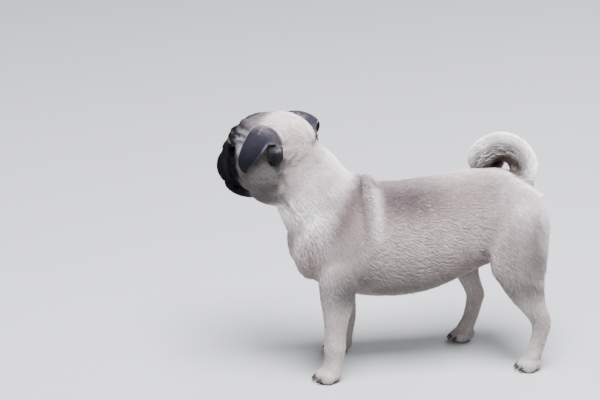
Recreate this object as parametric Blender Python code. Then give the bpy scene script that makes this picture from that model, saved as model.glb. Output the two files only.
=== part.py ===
"""A pug puppy about four months old, standing, as a still life-size museum model.

The flesh is made whole, as rounded forms fused into one skin with its folds pressed in, and is then
parted by thin cuts into the pieces that a person would name. Ears, eyes, nose and tail are set on it.
The dog faces -X, its left side is at -Y, and the floor is z = 0. Named sizes are in millimetres.
"""

import math

import bmesh
import bpy
import numpy as np
from mathutils import Euler, Matrix, Vector
from mathutils.bvhtree import BVHTree

MM = 0.001
GAP = 0.3
RING_SIDES = 40
# How fine the whole skin is where the head and paws are taken from it, and where the rest is.
HEAD_AND_PAW_TRIANGLES = 7500
BODY_TRIANGLES = 3400

# Trunk stations from the forechest to the rump: x, top, bottom, half width.
TRUNK = (
    (-94, 158, 122, 15),
    (-88, 168, 109, 24),
    (-76, 178, 97, 33),
    (-56, 187, 86, 40),
    (-28, 191, 77, 43),
    (10, 188, 74, 45),
    (45, 191, 79, 45),
    (78, 195, 93, 42),
    (105, 197, 103, 38),
    (128, 192, 112, 35),
    (145, 179, 122, 30),
    (156, 162, 136, 20),
)
# How far up a trunk section its widest level lies.
TRUNK_WIDEST = 0.52

# Neck stations along its axis: x, y, z, half depth, half width.
NECK = (
    (-28, 0, 136, 49, 42),
    (-51, 0, 153, 45, 39),
    (-67, 1, 175, 40.5, 37),
    (-79.5, 3, 194.5, 37, 35.5),
    (-92, 5, 209, 35, 35),
    (-103, 6, 220, 32, 33),
)

# The roll of loose skin over the withers, where the neck meets the back: centre and radii.
WITHERS = ((-31, 0, 174), (25, 22, 27))

# The head's own axes are forward, left and up, from the middle of the skull.
HEAD_AT = (-110, 8, 227)
HEAD_TURN = 40
HEAD_LIFT = -3
HEAD_LEAN = 7

# Rounded forms of the head: centre and radii. One with a sideways offset is made on both sides.
HEAD_FORMS = {
    "cranium": ((-6, 0, 6), (37, 37, 32)),
    "forehead": ((12, 0, 9), (25, 33, 26)),
    "cheek": ((3, 22, -13), (30, 20, 27)),
    "muzzle root": ((29, 0, -12), (21, 26, 20)),
    "flew": ((40, 11.5, -18), (15, 14.5, 18)),
    "lip front": ((45, 0, -14), (10, 12, 12)),
    "jaw": ((25, 0, -38), (26, 19, 12)),
    "chin": ((42, 0, -37), (10.5, 13, 8.5)),
    "throat": ((-4, 0, -34), (31, 27, 21)),
    "brow": ((22, 16, 20), (10, 13, 8)),
    "eye mound": ((22, 22.5, 11.5), (9, 12, 11.5)),
}
NOSE_ROLL_RADIUS = 5
NOSE_ROLL = ((36, 21, -8), (42, 14, 2), (44, 0, 7))

EYE_AT = (26, 24, 12)
EYE_RADIUS = 9.2
# Where the eye looks, in degrees to its side of straight ahead.
GAZE = 25
# Half the opening between the lids, in degrees at the eyeball's middle.
LID_OPENING = (72, 60)
LID_RADIUS = 1.9

NOSE_AT = (48.5, 0, -4)
NOSE_RADII = (7, 10, 7)
NOSTRIL_AT = (54.5, 4.6, -4)
NOSTRIL_RADII = (3.5, 1.9, 2.2)

# Leg stations from the top down: x, y, z, half length, half width. y is the distance from the middle plane.
NEAR_FORELEG = (
    (-54, 26, 140, 20, 12),
    (-52, 33, 120, 22, 14),
    (-53, 36, 101, 20.5, 13),
    (-55, 37, 86, 17, 12.5),
    (-56, 38, 70, 13.8, 11.5),
    (-57, 38, 52, 11.3, 10.5),
    (-57.5, 38, 37, 11.2, 11),
    (-58, 38, 24, 10, 10.5),
    (-60, 38, 12, 10.5, 11),
)
FAR_FORELEG_BACK = 25
NEAR_HINDLEG = (
    (127, 18, 176, 26, 14),
    (127, 25, 152, 31, 17),
    (125, 33, 128, 30, 16.5),
    (124.5, 39, 107, 27.5, 14.5),
    (129, 41.5, 90, 22, 12.5),
    (135, 43, 74, 17, 11),
    (143, 44, 60, 13, 10),
    (148, 44, 50, 10.8, 9),
    (148, 44, 39, 9, 8.5),
    (145, 44, 27, 8.5, 8.5),
    (141, 44, 15, 9.5, 10),
)
FAR_HINDLEG = (
    (122, 18, 176, 26, 14),
    (113, 26, 152, 31, 17),
    (101, 33, 128, 29.5, 17),
    (90, 38, 108, 24, 15),
    (88, 40.5, 92, 18, 12.5),
    (92.5, 42, 76, 13.3, 11),
    (98.5, 43, 62, 11, 10),
    (103, 43, 50, 10, 9),
    (102, 43, 40, 8.8, 8.5),
    (99, 43, 27, 8.3, 8.5),
    (94, 43, 15, 9.5, 10),
)
PAW_SIZE = {"fore": 1.0, "hind": 0.94}
TOES = (-1.5, -0.5, 0.5, 1.5)
TOE_SPREAD = 5.8
CLAW_LENGTH = 6.5
CLAW_RADIUS = 1.7

# Folds pressed into the skin: path on the head's axes, depth, half width, and the roll beside it.
HEAD_FOLDS = {
    "muzzle": (((46, 8, 8), (41, 18, 1), (36, 24.5, -10), (33, 26.5, -22), (30, 25, -34)), 3, 2.3, 1.2),
    "under the eye": (((40, 13, 7), (35, 27, -4), (24, 34, -3)), 1.6, 1.8, 0.6),
    "brow": (((38, 4, 16), (33, 10, 26), (22, 11, 34)), 1.8, 2.4, 0.8),
    "over the eye": (((34, 12, 24), (25, 27, 29), (10, 34, 24)), 1.6, 2.4, 0.8),
    "mouth": (((54, 0.5, -29), (50, 9, -32), (44, 18, -36), (34, 24, -36), (24, 26, -32)), 2.4, 1.3, 0.5),
}
PHILTRUM = ((56, 0, -12), (55, 0, -28))
# Folds of the body: path in the dog's frame, depth, half width, roll. A ridge has a negative depth.
# The first two run over the withers and die out down both shoulders.
SADDLE_FOLDS = {
    "valley": (((-26, 0, 197), (-27, 22, 188), (-29, 37, 168), (-29, 43, 146), (-36, 45, 128)), 1.9, 3.2, 0),
    "ridge": (((-18, 0, 194), (-18, 20, 188), (-19, 38, 170), (-18, 43, 146), (-26, 45, 128)), -3, 5.6, 0),
}
NECK_FOLD = (((-108, 28, 212), (-107, 28, 200), (-107, 26, 186), (-103, 22, 174)), 1.7, 3, 1.1)

# The left ear from its root in the skull over the fold to its tip, on the head's axes:
# the front edge, the rear edge, and how far the middle bulges out between them.
EAR_ROWS = (
    ((0, 22, 21.5), (-27.5, 27, -1), 4),
    ((1, 27, 25), (-30, 35, -0.5), 8),
    ((1.5, 33, 26.5), (-28, 40, 10.5), 9),
    ((3, 41, 21.5), (-22.5, 45, 12.5), 7.5),
    ((6.5, 46.5, 11), (-16.5, 47, 5.5), 5),
    ((10, 48, 0), (-9, 47, -3.5), 3.5),
    ((11, 47, -9), (-2, 46, -10.5), 1.5),
    ((6.5, 46, -16.5), (1, 46, -16.5), 0.3),
)
# The right ear is held up and back, so that its fold shows over the skull.
RAISED_EAR_ROWS = (
    ((0, 22, 21.5), (-27.5, 27, -1), 4),
    ((4, 26, 25), (-29, 32, 8), 4.5),
    ((8, 28, 29), (-29, 37, 18), 4.5),
    ((8, 32, 31), (-28, 41, 24), 4.5),
    ((3, 38, 28.5), (-27.5, 45, 21), 4),
    ((-4, 43, 24), (-26.5, 47, 15), 4),
    ((-11, 45, 16.5), (-24, 47, 10), 2),
    ((-17, 45, 9), (-21, 45, 6.5), 0.3),
)
# The inner lobe at the back of each ear's opening, from its top down.
LOBE_ROWS = (
    ((-17, 41, 11), (-31, 33, 11), 2.2),
    ((-16, 41, 5), (-31, 33.5, 3.5), 2.6),
    ((-17, 39, -1), (-29.5, 32.5, -3), 2.2),
    ((-19, 36, -5), (-26.5, 32.5, -6.5), 0.8),
)
RAISED_LOBE_LIFT = 4
EAR_THICKNESS = 2.6
EAR_GAP = 0.5

# The tail's middle line from the rump round its curl to the tip: x, y, z, radius.
TAIL = (
    (124, 0, 160, 13),
    (135, 1, 180, 14),
    (137.5, 3, 199, 13.5),
    (130, 7, 211.5, 13),
    (117, 11, 216, 12.5),
    (105.5, 15, 211, 12),
    (100.5, 20, 203, 11.5),
    (103, 26, 197, 11),
    (110, 31, 194, 11),
    (118, 34, 195, 9.5),
    (125, 35, 198, 4),
)
TAIL_SIDES = 14

# Cuts between the pieces.
HEAD_CUT = ((-91, 5, 204), (-0.7, 0.1, 0.7))
NECK_CUT = ((-52, 0, 165), (-0.8, 0, 0.6))
MUZZLE_CUT = ((22.5, 0, -17), (29, 21))
MOUTH_CORNER = 21
SHOULDER_CUTS = {"left": ((-56, 118), (34, 56), 27), "right": ((-47, 118), (35, 56), 27)}
THIGH_CUTS = {"left": ((127, 130), (40, 50), 24), "right": ((99, 130), (42, 50), 24)}
ELBOW_LEVEL = 84
WRIST_LEVEL = 22
ANKLE_LEVEL = 20
HOCK_LEVEL = 50
STIFLE_LEVEL = 92
TAIL_CUT_X = 120
TAIL_TIP_CUT = ((101, 18, 206), (-2, 5, -8))

COLOURS = {
    "fawn coat": ((0.60, 0.47, 0.37), 0.85),
    "pale coat": ((0.72, 0.63, 0.54), 0.85),
    "black mask": ((0.035, 0.030, 0.032), 0.75),
    "nose leather": ((0.012, 0.011, 0.012), 0.42),
    "eye": ((0.010, 0.007, 0.006), 0.08),
}


def smooth_stations(stations, per_span=5):
    """The stations with smooth ones between them, by a Catmull-Rom curve through every column."""
    table = np.array(stations, float)
    padded = np.vstack([2 * table[0] - table[1], table, 2 * table[-1] - table[-2]])
    rows = []
    for i in range(1, len(padded) - 2):
        before, start, end, after = padded[i - 1 : i + 3]
        for t in np.arange(per_span) / per_span:
            bend = 2 * before - 5 * start + 4 * end - after
            turn = 3 * start - before - 3 * end + after
            rows.append(start + 0.5 * ((end - before) * t + bend * t**2 + turn * t**3))
    rows.append(table[-1])
    return np.array(rows)


def head_matrix():
    """Places the head's forward, left and up axes in the dog's frame."""
    turn = Matrix.Rotation(math.radians(180 - HEAD_TURN), 4, "Z")
    lift = Matrix.Rotation(math.radians(-HEAD_LIFT), 4, "Y")
    lean = Matrix.Rotation(math.radians(HEAD_LEAN), 4, "X")
    return Matrix.Translation(Vector(HEAD_AT)) @ turn @ lift @ lean


def mirrored(path, side):
    """A path of the dog's or the head's left side, or the same one on the other side."""
    return [(p[0], p[1] * side, *p[2:]) for p in path]


def link(name, mesh):
    obj = bpy.data.objects.new(name, mesh)
    bpy.context.scene.collection.objects.link(obj)
    return obj


def face_out(shape):
    """Turns the faces of a closed surface outwards."""
    bmesh.ops.recalc_face_normals(shape, faces=shape.faces)
    if shape.calc_volume(signed=True) < 0:
        bmesh.ops.reverse_faces(shape, faces=shape.faces)


def from_bmesh(name, shape):
    """An object in metres from a bmesh in millimetres, with its faces turned out."""
    face_out(shape)
    mesh = bpy.data.meshes.new(name)
    shape.to_mesh(mesh)
    shape.free()
    mesh.transform(Matrix.Scale(MM, 4))
    return link(name, mesh)


def copied(obj, name):
    return link(name, obj.data.copy())


def settle(obj):
    """Replaces an object's mesh by the one that its modifiers make."""
    graph = bpy.context.evaluated_depsgraph_get()
    made = bpy.data.meshes.new_from_object(obj.evaluated_get(graph))
    old = obj.data
    obj.modifiers.clear()
    obj.data = made
    bpy.data.meshes.remove(old)


def combine(obj, other, operation):
    """Cuts the other object from this one, keeps what they share, or joins them."""
    step = obj.modifiers.new("combine", "BOOLEAN")
    step.operation = operation
    step.object = other
    step.solver = "EXACT"
    settle(obj)
    bpy.data.objects.remove(other)


def keep_largest(obj):
    """Drops every loose scrap but the largest closed surface."""
    shape = bmesh.new()
    shape.from_mesh(obj.data)
    bmesh.ops.remove_doubles(shape, verts=shape.verts, dist=0.01 * MM)
    left = set(shape.verts)
    islands = []
    while left:
        island = set()
        edge_of_search = [left.pop()]
        while edge_of_search:
            vert = edge_of_search.pop()
            island.add(vert)
            for edge in vert.link_edges:
                other = edge.other_vert(vert)
                if other in left:
                    left.discard(other)
                    edge_of_search.append(other)
        islands.append(island)
    islands.sort(key=len)
    scraps = [vert for island in islands[:-1] for vert in island]
    bmesh.ops.delete(shape, geom=scraps, context="VERTS")
    face_out(shape)
    shape.to_mesh(obj.data)
    shape.free()


def thin(obj, triangles):
    """Brings a mesh down to about so many triangles."""
    count = sum(len(face.vertices) - 2 for face in obj.data.polygons)
    step = obj.modifiers.new("thin", "DECIMATE")
    step.ratio = min(1.0, triangles / count)
    settle(obj)


class Clay:
    """Closed shells in millimetres that are fused into one rounded skin."""

    def __init__(self, frame=None):
        self.shells = bmesh.new()
        self.frame = frame or Matrix.Identity(4)

    def ball(self, centre, radii, turn=(0, 0, 0)):
        angles = Euler([math.radians(a) for a in turn]).to_matrix().to_4x4()
        place = self.frame @ Matrix.Translation(Vector(centre)) @ angles @ Matrix.Diagonal((*radii, 1))
        bmesh.ops.create_icosphere(self.shells, subdivisions=3, radius=1, matrix=place)

    def loft(self, rings):
        """A closed tube through rings of points, with its ends filled."""
        made = [[self.shells.verts.new(self.frame @ Vector(p)) for p in ring] for ring in rings]
        sides = len(made[0])
        for low, high in zip(made, made[1:]):
            for k in range(sides):
                n = (k + 1) % sides
                self.shells.faces.new((low[k], low[n], high[n], high[k]))
        self.shells.faces.new(list(reversed(made[0])))
        self.shells.faces.new(made[-1])

    def cord(self, points, radius):
        """A round cord through the points, as close-set balls."""
        for point in smooth_stations(points, 6):
            self.ball(point, (radius, radius, radius))

    def add(self, obj):
        """Takes in the mesh of an object, and removes the object."""
        obj.data.transform(Matrix.Scale(1 / MM, 4))
        self.shells.from_mesh(obj.data)
        bpy.data.objects.remove(obj)

    def fused(self, name, voxel, rounds):
        """One object whose skin is the outside of all the shells, eased by rounds of smoothing."""
        obj = from_bmesh(name, self.shells)
        remesh = obj.modifiers.new("fuse", "REMESH")
        remesh.mode = "VOXEL"
        remesh.voxel_size = voxel * MM
        ease = obj.modifiers.new("ease", "SMOOTH")
        ease.factor = 0.5
        ease.iterations = rounds
        settle(obj)
        return obj


def level_ring(x, y, z, half_length, half_width):
    """A level oval ring round a leg."""
    angles = np.arange(RING_SIDES) * 2 * math.pi / RING_SIDES
    return [(x + half_length * math.cos(a), y + half_width * math.sin(a), z) for a in angles]


def trunk_ring(x, top, bottom, half_width):
    """An upright ring round the trunk, a little fuller at the sides than a plain oval."""
    widest = bottom + (top - bottom) * TRUNK_WIDEST
    ring = []
    for k in range(RING_SIDES):
        angle = 2 * math.pi * k / RING_SIDES
        across, along = math.cos(angle), math.sin(angle)
        side = math.copysign(abs(across) ** 0.86, across) * half_width
        height = math.copysign(abs(along) ** 0.93, along)
        ring.append((x, side, widest + height * ((top - widest) if along > 0 else (widest - bottom))))
    return ring


def square_rings(rows, sides=RING_SIDES):
    """Rings square to a path. A row holds x, y, z, half depth and half width, or one radius."""
    rings = []
    for i, row in enumerate(rows):
        ahead = Vector(rows[min(i + 1, len(rows) - 1)][:3]) - Vector(rows[max(i - 1, 0)][:3])
        ahead.normalize()
        side = Vector((0, 1, 0))
        side = (side - ahead * side.dot(ahead)).normalized()
        up = side.cross(ahead)
        centre = Vector(row[:3])
        angles = np.arange(sides) * 2 * math.pi / sides
        rings.append([centre + side * row[-1] * math.cos(a) + up * row[3] * math.sin(a) for a in angles])
    return rings


def body_core():
    """The trunk, neck, shoulders and haunches, well blended."""
    clay = Clay()
    clay.loft([trunk_ring(*row) for row in smooth_stations(TRUNK)])
    clay.loft(square_rings(smooth_stations(NECK)))
    clay.ball(*WITHERS)
    for side in (-1, 1):
        clay.ball((-58, side * 29, 138), (29, 16, 42), (0, -14, 0))
        clay.ball((-78, side * 18, 130), (17, 16, 30))
        clay.ball((128, side * 20, 160), (27, 16, 27))
    for side, stations in limb_stations():
        rows = smooth_stations(mirrored(stations, side))
        clay.loft([level_ring(*row) for row in rows[: len(rows) * 2 // 5]])
    return clay.fused("core", 2.6, 20)


def limb_stations():
    """Each leg's side and stations. The far foreleg stands like the near one, drawn back at its foot."""
    shoulder, foot = NEAR_FORELEG[0][2], 50
    far_fore = []
    for x, y, z, length, width in NEAR_FORELEG:
        share = min(1, 0.15 + 0.85 * (shoulder - z) / (shoulder - foot))
        far_fore.append((x + FAR_FORELEG_BACK * share, y, z, length, width))
    return ((-1, NEAR_FORELEG), (1, far_fore), (-1, NEAR_HINDLEG), (1, FAR_HINDLEG))


def paw_places():
    """The middle of each paw: name, side, x, y and size."""
    names = ("forepaw_left", "forepaw_right", "hindpaw_left", "hindpaw_right")
    places = []
    for name, (side, stations) in zip(names, limb_stations()):
        x, y = stations[-1][:2]
        places.append((name, x - 1, side * y, PAW_SIZE[name[:4]]))
    return places


def paw(clay, x, y, size):
    """Four toes round a broad pad, pointing towards -X, standing on the floor."""
    clay.ball((x, y, 9 * size), (12 * size, 11.5 * size, 10 * size))
    for toe in TOES:
        reach = (8.5 if abs(toe) < 1 else 5) * size
        side = toe * TOE_SPREAD * size
        clay.ball((x - reach, y + side, 6.2 * size), (8 * size, 4.3 * size, 7.2 * size), (0, 12, toe * 6))


def legs():
    clay = Clay()
    for side, stations in limb_stations():
        clay.loft([level_ring(*row) for row in smooth_stations(mirrored(stations, side))])
    for _, x, y, size in paw_places():
        paw(clay, x, y, size)
    return clay.fused("legs", 1.4, 5)


def head_core():
    clay = Clay(head_matrix())
    for (ahead, side, up), radii in HEAD_FORMS.values():
        for mirror in (-1, 1) if side else (0,):
            clay.ball((ahead, side * mirror, up), radii)
    for mirror in (-1, 1):
        clay.cord(mirrored(NOSE_ROLL, mirror), NOSE_ROLL_RADIUS)
        clay.cord(mirrored(lid_ring(), mirror), LID_RADIUS)
    return clay.fused("head_core", 1.3, 7)


def lid_ring():
    """Points round the left eye along the edge of its lids."""
    turn = math.radians(GAZE)
    gaze = Vector((math.cos(turn), math.sin(turn), 0))
    aside = Vector((-math.sin(turn), math.cos(turn), 0))
    ring = []
    for k in range(9):
        angle = 2 * math.pi * k / 8
        across, up = math.cos(angle), math.sin(angle)
        opening = math.radians(math.hypot(LID_OPENING[0] * across, LID_OPENING[1] * up))
        point = gaze * math.cos(opening) + (aside * across + Vector((0, 0, up))) * math.sin(opening)
        ring.append(Vector(EYE_AT) + point * (EYE_RADIUS + 0.2))
    return ring


class Skin:
    """The points and normals of a fine mesh, for pressing folds into it."""

    def __init__(self, obj):
        self.mesh = obj.data
        count = len(self.mesh.vertices)
        self.points = np.empty(count * 3)
        self.mesh.vertices.foreach_get("co", self.points)
        self.points = self.points.reshape(-1, 3) / MM
        self.normals = np.empty(count * 3)
        self.mesh.vertices.foreach_get("normal", self.normals)
        self.normals = self.normals.reshape(-1, 3)
        faces = [tuple(face.vertices) for face in self.mesh.polygons]
        self.tree = BVHTree.FromPolygons(self.points.tolist(), faces)

    def fold(self, path, depth, width, roll=0, frame=None, ending=6):
        """Presses a groove along a path laid on the skin, and throws up a roll on both its sides."""
        frame = frame or Matrix.Identity(4)
        laid = []
        facing = []
        for point in smooth_stations(path, 14):
            place, normal, _, _ = self.tree.find_nearest(frame @ Vector(point))
            laid.append(place)
            facing.append(normal)
        laid, facing = np.array(laid), np.array(facing)
        reach = width * 4 + 2
        low, high = laid.min(0) - reach, laid.max(0) + reach
        near = np.flatnonzero(((self.points > low) & (self.points < high)).all(1))
        apart = np.linalg.norm(self.points[near][:, None] - laid[None], axis=2)
        nearest = apart.argmin(1)
        apart = apart.min(1)
        along = nearest / (len(laid) - 1)
        fade = np.clip(np.minimum(along, 1 - along) * ending + 0.12, 0, 1)
        fade[(self.normals[near] * facing[nearest]).sum(1) < 0.1] = 0
        push = roll * np.exp(-(((apart - 2.3 * width) / width) ** 2))
        push -= depth * np.exp(-((apart / width) ** 2))
        self.points[near] += self.normals[near] * (push * fade)[:, None]

    def finish(self):
        """Levels the soles, and writes the points back."""
        self.points[self.points[:, 2] < 0.2, 2] = 0
        self.mesh.vertices.foreach_set("co", (self.points * MM).ravel())
        self.mesh.update()


def whole_body(voxel=1.25, rounds=4):
    """The flesh as one skin, with its folds."""
    clay = Clay()
    clay.add(body_core())
    clay.add(legs())
    clay.add(head_core())
    body = clay.fused("whole", voxel, rounds)
    skin = Skin(body)
    place = head_matrix()
    for path, depth, width, roll in HEAD_FOLDS.values():
        for side in (-1, 1):
            skin.fold(mirrored(path, side), depth, width, roll, place)
    skin.fold(PHILTRUM, 1.4, 1.2, 0, place)
    for path, depth, width, roll in SADDLE_FOLDS.values():
        skin.fold(mirrored(path, -1)[:0:-1] + list(path), depth, width, roll, ending=1.9)
    path, *shape = NECK_FOLD
    for side in (-1, 1):
        skin.fold(mirrored(path, side), *shape)
    skin.finish()
    return body


def half_space(point, normal, grow):
    """A large block that fills the side of a plane to which the normal points."""
    towards = Vector(normal).normalized()
    size = 500
    centre = Vector(point) + towards * (size / 2 - grow)
    place = Matrix.Translation(centre) @ towards.to_track_quat("Z", "Y").to_matrix().to_4x4()
    shape = bmesh.new()
    bmesh.ops.create_cube(shape, size=size, matrix=place)
    return from_bmesh("block", shape)


def block(low, high, grow):
    """An upright block between two corners."""
    low = Vector(low) - Vector((grow, grow, grow))
    high = Vector(high) + Vector((grow, grow, grow))
    place = Matrix.Translation((low + high) / 2) @ Matrix.Diagonal((*(high - low), 1))
    shape = bmesh.new()
    bmesh.ops.create_cube(shape, size=1, matrix=place)
    return from_bmesh("block", shape)


def disc(centre, radii, inner, side, grow):
    """A thick oval disc seen from the dog's side, out from a distance beside the middle plane."""
    depth = 90 - inner
    middle = side * (inner + depth / 2)
    shape = bmesh.new()
    turn = Matrix.Rotation(math.radians(90), 4, "X")
    size = Matrix.Diagonal((radii[0] + grow, depth + 2 * grow, radii[1] + grow, 1))
    place = Matrix.Translation((centre[0], middle, centre[1])) @ size @ turn
    bmesh.ops.create_cone(
        shape, cap_ends=True, segments=36, radius1=1, radius2=1, depth=1, matrix=place
    )
    return from_bmesh("disc", shape)


def part_off(whole, name, cutter, *sizes):
    """Cuts a piece off the whole, with a thin gap between the two."""
    piece = copied(whole, name)
    combine(piece, cutter(*sizes, grow=-GAP / 2), "INTERSECT")
    combine(whole, cutter(*sizes, grow=GAP / 2), "DIFFERENCE")
    keep_largest(piece)
    keep_largest(whole)
    return piece


def ball_mesh(name, centre, radii, subdivisions, frame):
    shape = bmesh.new()
    place = frame @ Matrix.Translation(Vector(centre)) @ Matrix.Diagonal((*radii, 1))
    bmesh.ops.create_icosphere(shape, subdivisions=subdivisions, radius=1, matrix=place)
    return from_bmesh(name, shape)


def swollen(obj, amount):
    """A copy of an object whose skin stands a little further out."""
    copy = copied(obj, "swollen")
    count = len(copy.data.vertices)
    points, normals = np.empty(count * 3), np.empty(count * 3)
    copy.data.vertices.foreach_get("co", points)
    copy.data.vertices.foreach_get("normal", normals)
    copy.data.vertices.foreach_set("co", points + normals * amount * MM)
    return copy


def flap(name, side, flap_rows, across=7, per_span=2):
    """A curved flap of the ear, with an outer and an inner face."""
    rows = smooth_stations([(*front, *rear, bulge) for front, rear, bulge in flap_rows], per_span)
    middles = [(Vector(row[:3]) + Vector(row[3:6])) / 2 for row in rows]
    frame = head_matrix()
    shape = bmesh.new()
    outer, inner = [], []
    for i, row in enumerate(rows):
        ahead = middles[min(i + 1, len(rows) - 1)] - middles[max(i - 1, 0)]
        to_rear = Vector(row[3:6]) - Vector(row[:3])
        outward = ahead.cross(to_rear).normalized()
        thickness = EAR_THICKNESS * (1 - 0.4 * i / (len(rows) - 1))
        for grid, lift in ((outer, 0.5), (inner, -0.5)):
            grid.append([])
            for b in np.linspace(-1, 1, across):
                edge = 1 - 0.55 * abs(b) ** 4
                point = middles[i] + to_rear * b / 2 + outward * row[6] * (1 - b * b)
                point += outward * lift * thickness * edge
                point.y *= side
                grid[-1].append(shape.verts.new(frame @ point))
    last = len(rows) - 1
    for grid in (outer, inner):
        for i in range(last):
            for k in range(across - 1):
                shape.faces.new((grid[i][k], grid[i][k + 1], grid[i + 1][k + 1], grid[i + 1][k]))
    for i in range(last):
        for k in (0, across - 1):
            shape.faces.new((outer[i][k], outer[i + 1][k], inner[i + 1][k], inner[i][k]))
    for k in range(across - 1):
        for i in (0, last):
            shape.faces.new((outer[i][k], outer[i][k + 1], inner[i][k + 1], inner[i][k]))
    return from_bmesh(name, shape)


def ear(name, side):
    """A folded ear, cupped at its root, joined to the lobe at the back of its opening."""
    if side > 0:
        made = flap(name, side, EAR_ROWS)
        lobe = flap("lobe", side, LOBE_ROWS, 5)
    else:
        made = flap(name, side, RAISED_EAR_ROWS)
        lobe = flap("lobe", side, LOBE_ROWS, 5)
        lobe.data.transform(Matrix.Translation((0, 0, RAISED_LOBE_LIFT * MM)))
    combine(made, lobe, "UNION")
    return made


def tail():
    """The tail as a tapering tube round its curl."""
    clay = Clay()
    clay.loft(square_rings(smooth_stations(TAIL, 3), TAIL_SIDES))
    return from_bmesh("tail_curl", clay.shells)


def claws(name, x, y, size):
    """Four small horn cones at the toes of one paw, in one mesh."""
    shape = bmesh.new()
    for toe in TOES:
        reach = (8.5 if abs(toe) < 1 else 5) * size
        root = Vector((x - reach - 3 * size, y + toe * TOE_SPREAD * size, 6.4 * size))
        tilt = Matrix.Rotation(math.radians(-114), 4, "Y")
        place = Matrix.Translation(root) @ tilt @ Matrix.Translation((0, 0, CLAW_LENGTH * size / 2))
        bmesh.ops.create_cone(
            shape, cap_ends=True, segments=6, radius1=CLAW_RADIUS, radius2=0.4,
            depth=CLAW_LENGTH * size, matrix=place,
        )
    return from_bmesh(name, shape)


def head_pieces(head, fine):
    """Eyes, nose, jaw, muzzle and ears, each fitted to the head."""
    frame = head_matrix()
    pieces = []
    for name, side in (("left", 1), ("right", -1)):
        whole = ear(f"ear_{name}", side)
        combine(whole, swollen(fine, EAR_GAP), "DIFFERENCE")
        keep_largest(whole)
        pieces.append((whole, "black mask"))
    near = swollen(head, GAP)
    nose = ball_mesh("nose", NOSE_AT, NOSE_RADII, 3, frame)
    combine(nose, near, "DIFFERENCE")
    for side in (-1, 1):
        nostril = (NOSTRIL_AT[0], NOSTRIL_AT[1] * side, NOSTRIL_AT[2])
        hole = ball_mesh("hole", nostril, NOSTRIL_RADII, 1, frame)
        combine(nose, hole, "DIFFERENCE")
    keep_largest(nose)
    pieces.append((nose, "nose leather"))
    for name, side in (("left", 1), ("right", -1)):
        centre = (EYE_AT[0], EYE_AT[1] * side, EYE_AT[2])
        socket = EYE_RADIUS + GAP
        combine(head, ball_mesh("socket", centre, (socket, socket, socket), 3, frame), "DIFFERENCE")
        eye = ball_mesh(f"eye_{name}", centre, (EYE_RADIUS, EYE_RADIUS, EYE_RADIUS), 3, frame)
        pieces.append((eye, "eye"))
    keep_largest(head)
    pieces.append((part_off(head, "lower_jaw", jaw_block, frame), "black mask"))
    pieces.append((part_off(head, "muzzle", muzzle_block, frame), "black mask"))
    return pieces


def column(name, outline, back, frame):
    """A solid with an outline across the head, from a distance forward to well past the nose."""
    shape = bmesh.new()
    rings = [[shape.verts.new(frame @ Vector((ahead, y, z))) for y, z in outline] for ahead in (back, 90)]
    for k in range(len(outline)):
        n = (k + 1) % len(outline)
        shape.faces.new((rings[0][k], rings[0][n], rings[1][n], rings[1][k]))
    for ring in rings:
        shape.faces.new(ring)
    return from_bmesh(name, shape)


def jaw_block(frame, grow):
    """Fills the space below the line of the mouth, from its corners forward."""
    line = ((-30, -38), (-18, -36.5), (-9, -33), (0, -29), (9, -33), (18, -36.5), (30, -38))
    outline = [(y, z + grow) for y, z in line] + [(30 + grow, -70), (-30 - grow, -70)]
    return column("jaw_block", outline, MOUTH_CORNER - grow, frame)


def muzzle_block(frame, grow):
    """An arched column forward along the muzzle, below the eyes."""
    (back, side, up), (wide, high) = MUZZLE_CUT
    arch = [math.pi * k / 16 for k in range(17)]
    outline = [(side + (wide + grow) * math.cos(a), up + (high + grow) * math.sin(a)) for a in arch]
    outline += [(-wide - grow, -70), (wide + grow, -70)]
    return column("muzzle_block", outline, back - grow, frame)


def body_pieces(fine, body):
    """Parts the body into limbs, neck and trunk. The paws come from the finer skin."""
    pieces = [(part_off(body, "neck", half_space, *NECK_CUT), "fawn coat")]
    for name, x, y, size in paw_places():
        level = WRIST_LEVEL if name.startswith("fore") else ANKLE_LEVEL
        corners = ((x - 40, y - 22, -5), (x + 24, y + 22, level))
        foot = copied(fine, name)
        combine(foot, block(*corners, grow=-GAP / 2), "INTERSECT")
        combine(body, block(*corners, grow=GAP / 2), "DIFFERENCE")
        combine(foot, claws("claws", x, y, size), "UNION")
        keep_largest(foot)
        pieces.append((foot, "pale coat"))
    for side_name, side in (("left", -1), ("right", 1)):
        paws = {name[:4]: (x, y) for name, x, y, _ in paw_places() if y * side > 0}
        x = paws["fore"][0]
        low, high = sorted((side * 24, side * 70))
        forearm = part_off(body, f"forearm_{side_name}", block, (x - 30, low, 0), (x + 24, high, ELBOW_LEVEL))
        pieces.append((forearm, "pale coat"))
        shoulder = part_off(body, f"shoulder_{side_name}", disc, *SHOULDER_CUTS[side_name], side)
        pieces.append((shoulder, "fawn coat"))
        x = paws["hind"][0]
        low, high = sorted((side * 24, side * 70))
        hock = part_off(body, f"hock_{side_name}", block, (x - 36, low, 0), (x + 50, high, HOCK_LEVEL))
        pieces.append((hock, "pale coat"))
        shank = part_off(body, f"shank_{side_name}", block, (x - 36, low, 0), (x + 50, high, STIFLE_LEVEL))
        pieces.append((shank, "pale coat"))
        thigh = part_off(body, f"thigh_{side_name}", disc, *THIGH_CUTS[side_name], side)
        pieces.append((thigh, "fawn coat"))
    body.name = "torso"
    pieces.append((body, "fawn coat"))
    return pieces


def tail_pieces(body):
    """The tail's upright base, its curl and its tip, clear of the back."""
    curl = tail()
    combine(curl, swollen(body, GAP), "DIFFERENCE")
    keep_largest(curl)
    corners = ((TAIL_CUT_X, -20, 150), (180, 22, 250))
    base = part_off(curl, "tail_base", block, *corners)
    tip = part_off(curl, "tail_tip", half_space, *TAIL_TIP_CUT)
    return [(base, "fawn coat"), (curl, "pale coat"), (tip, "pale coat")]


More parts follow.
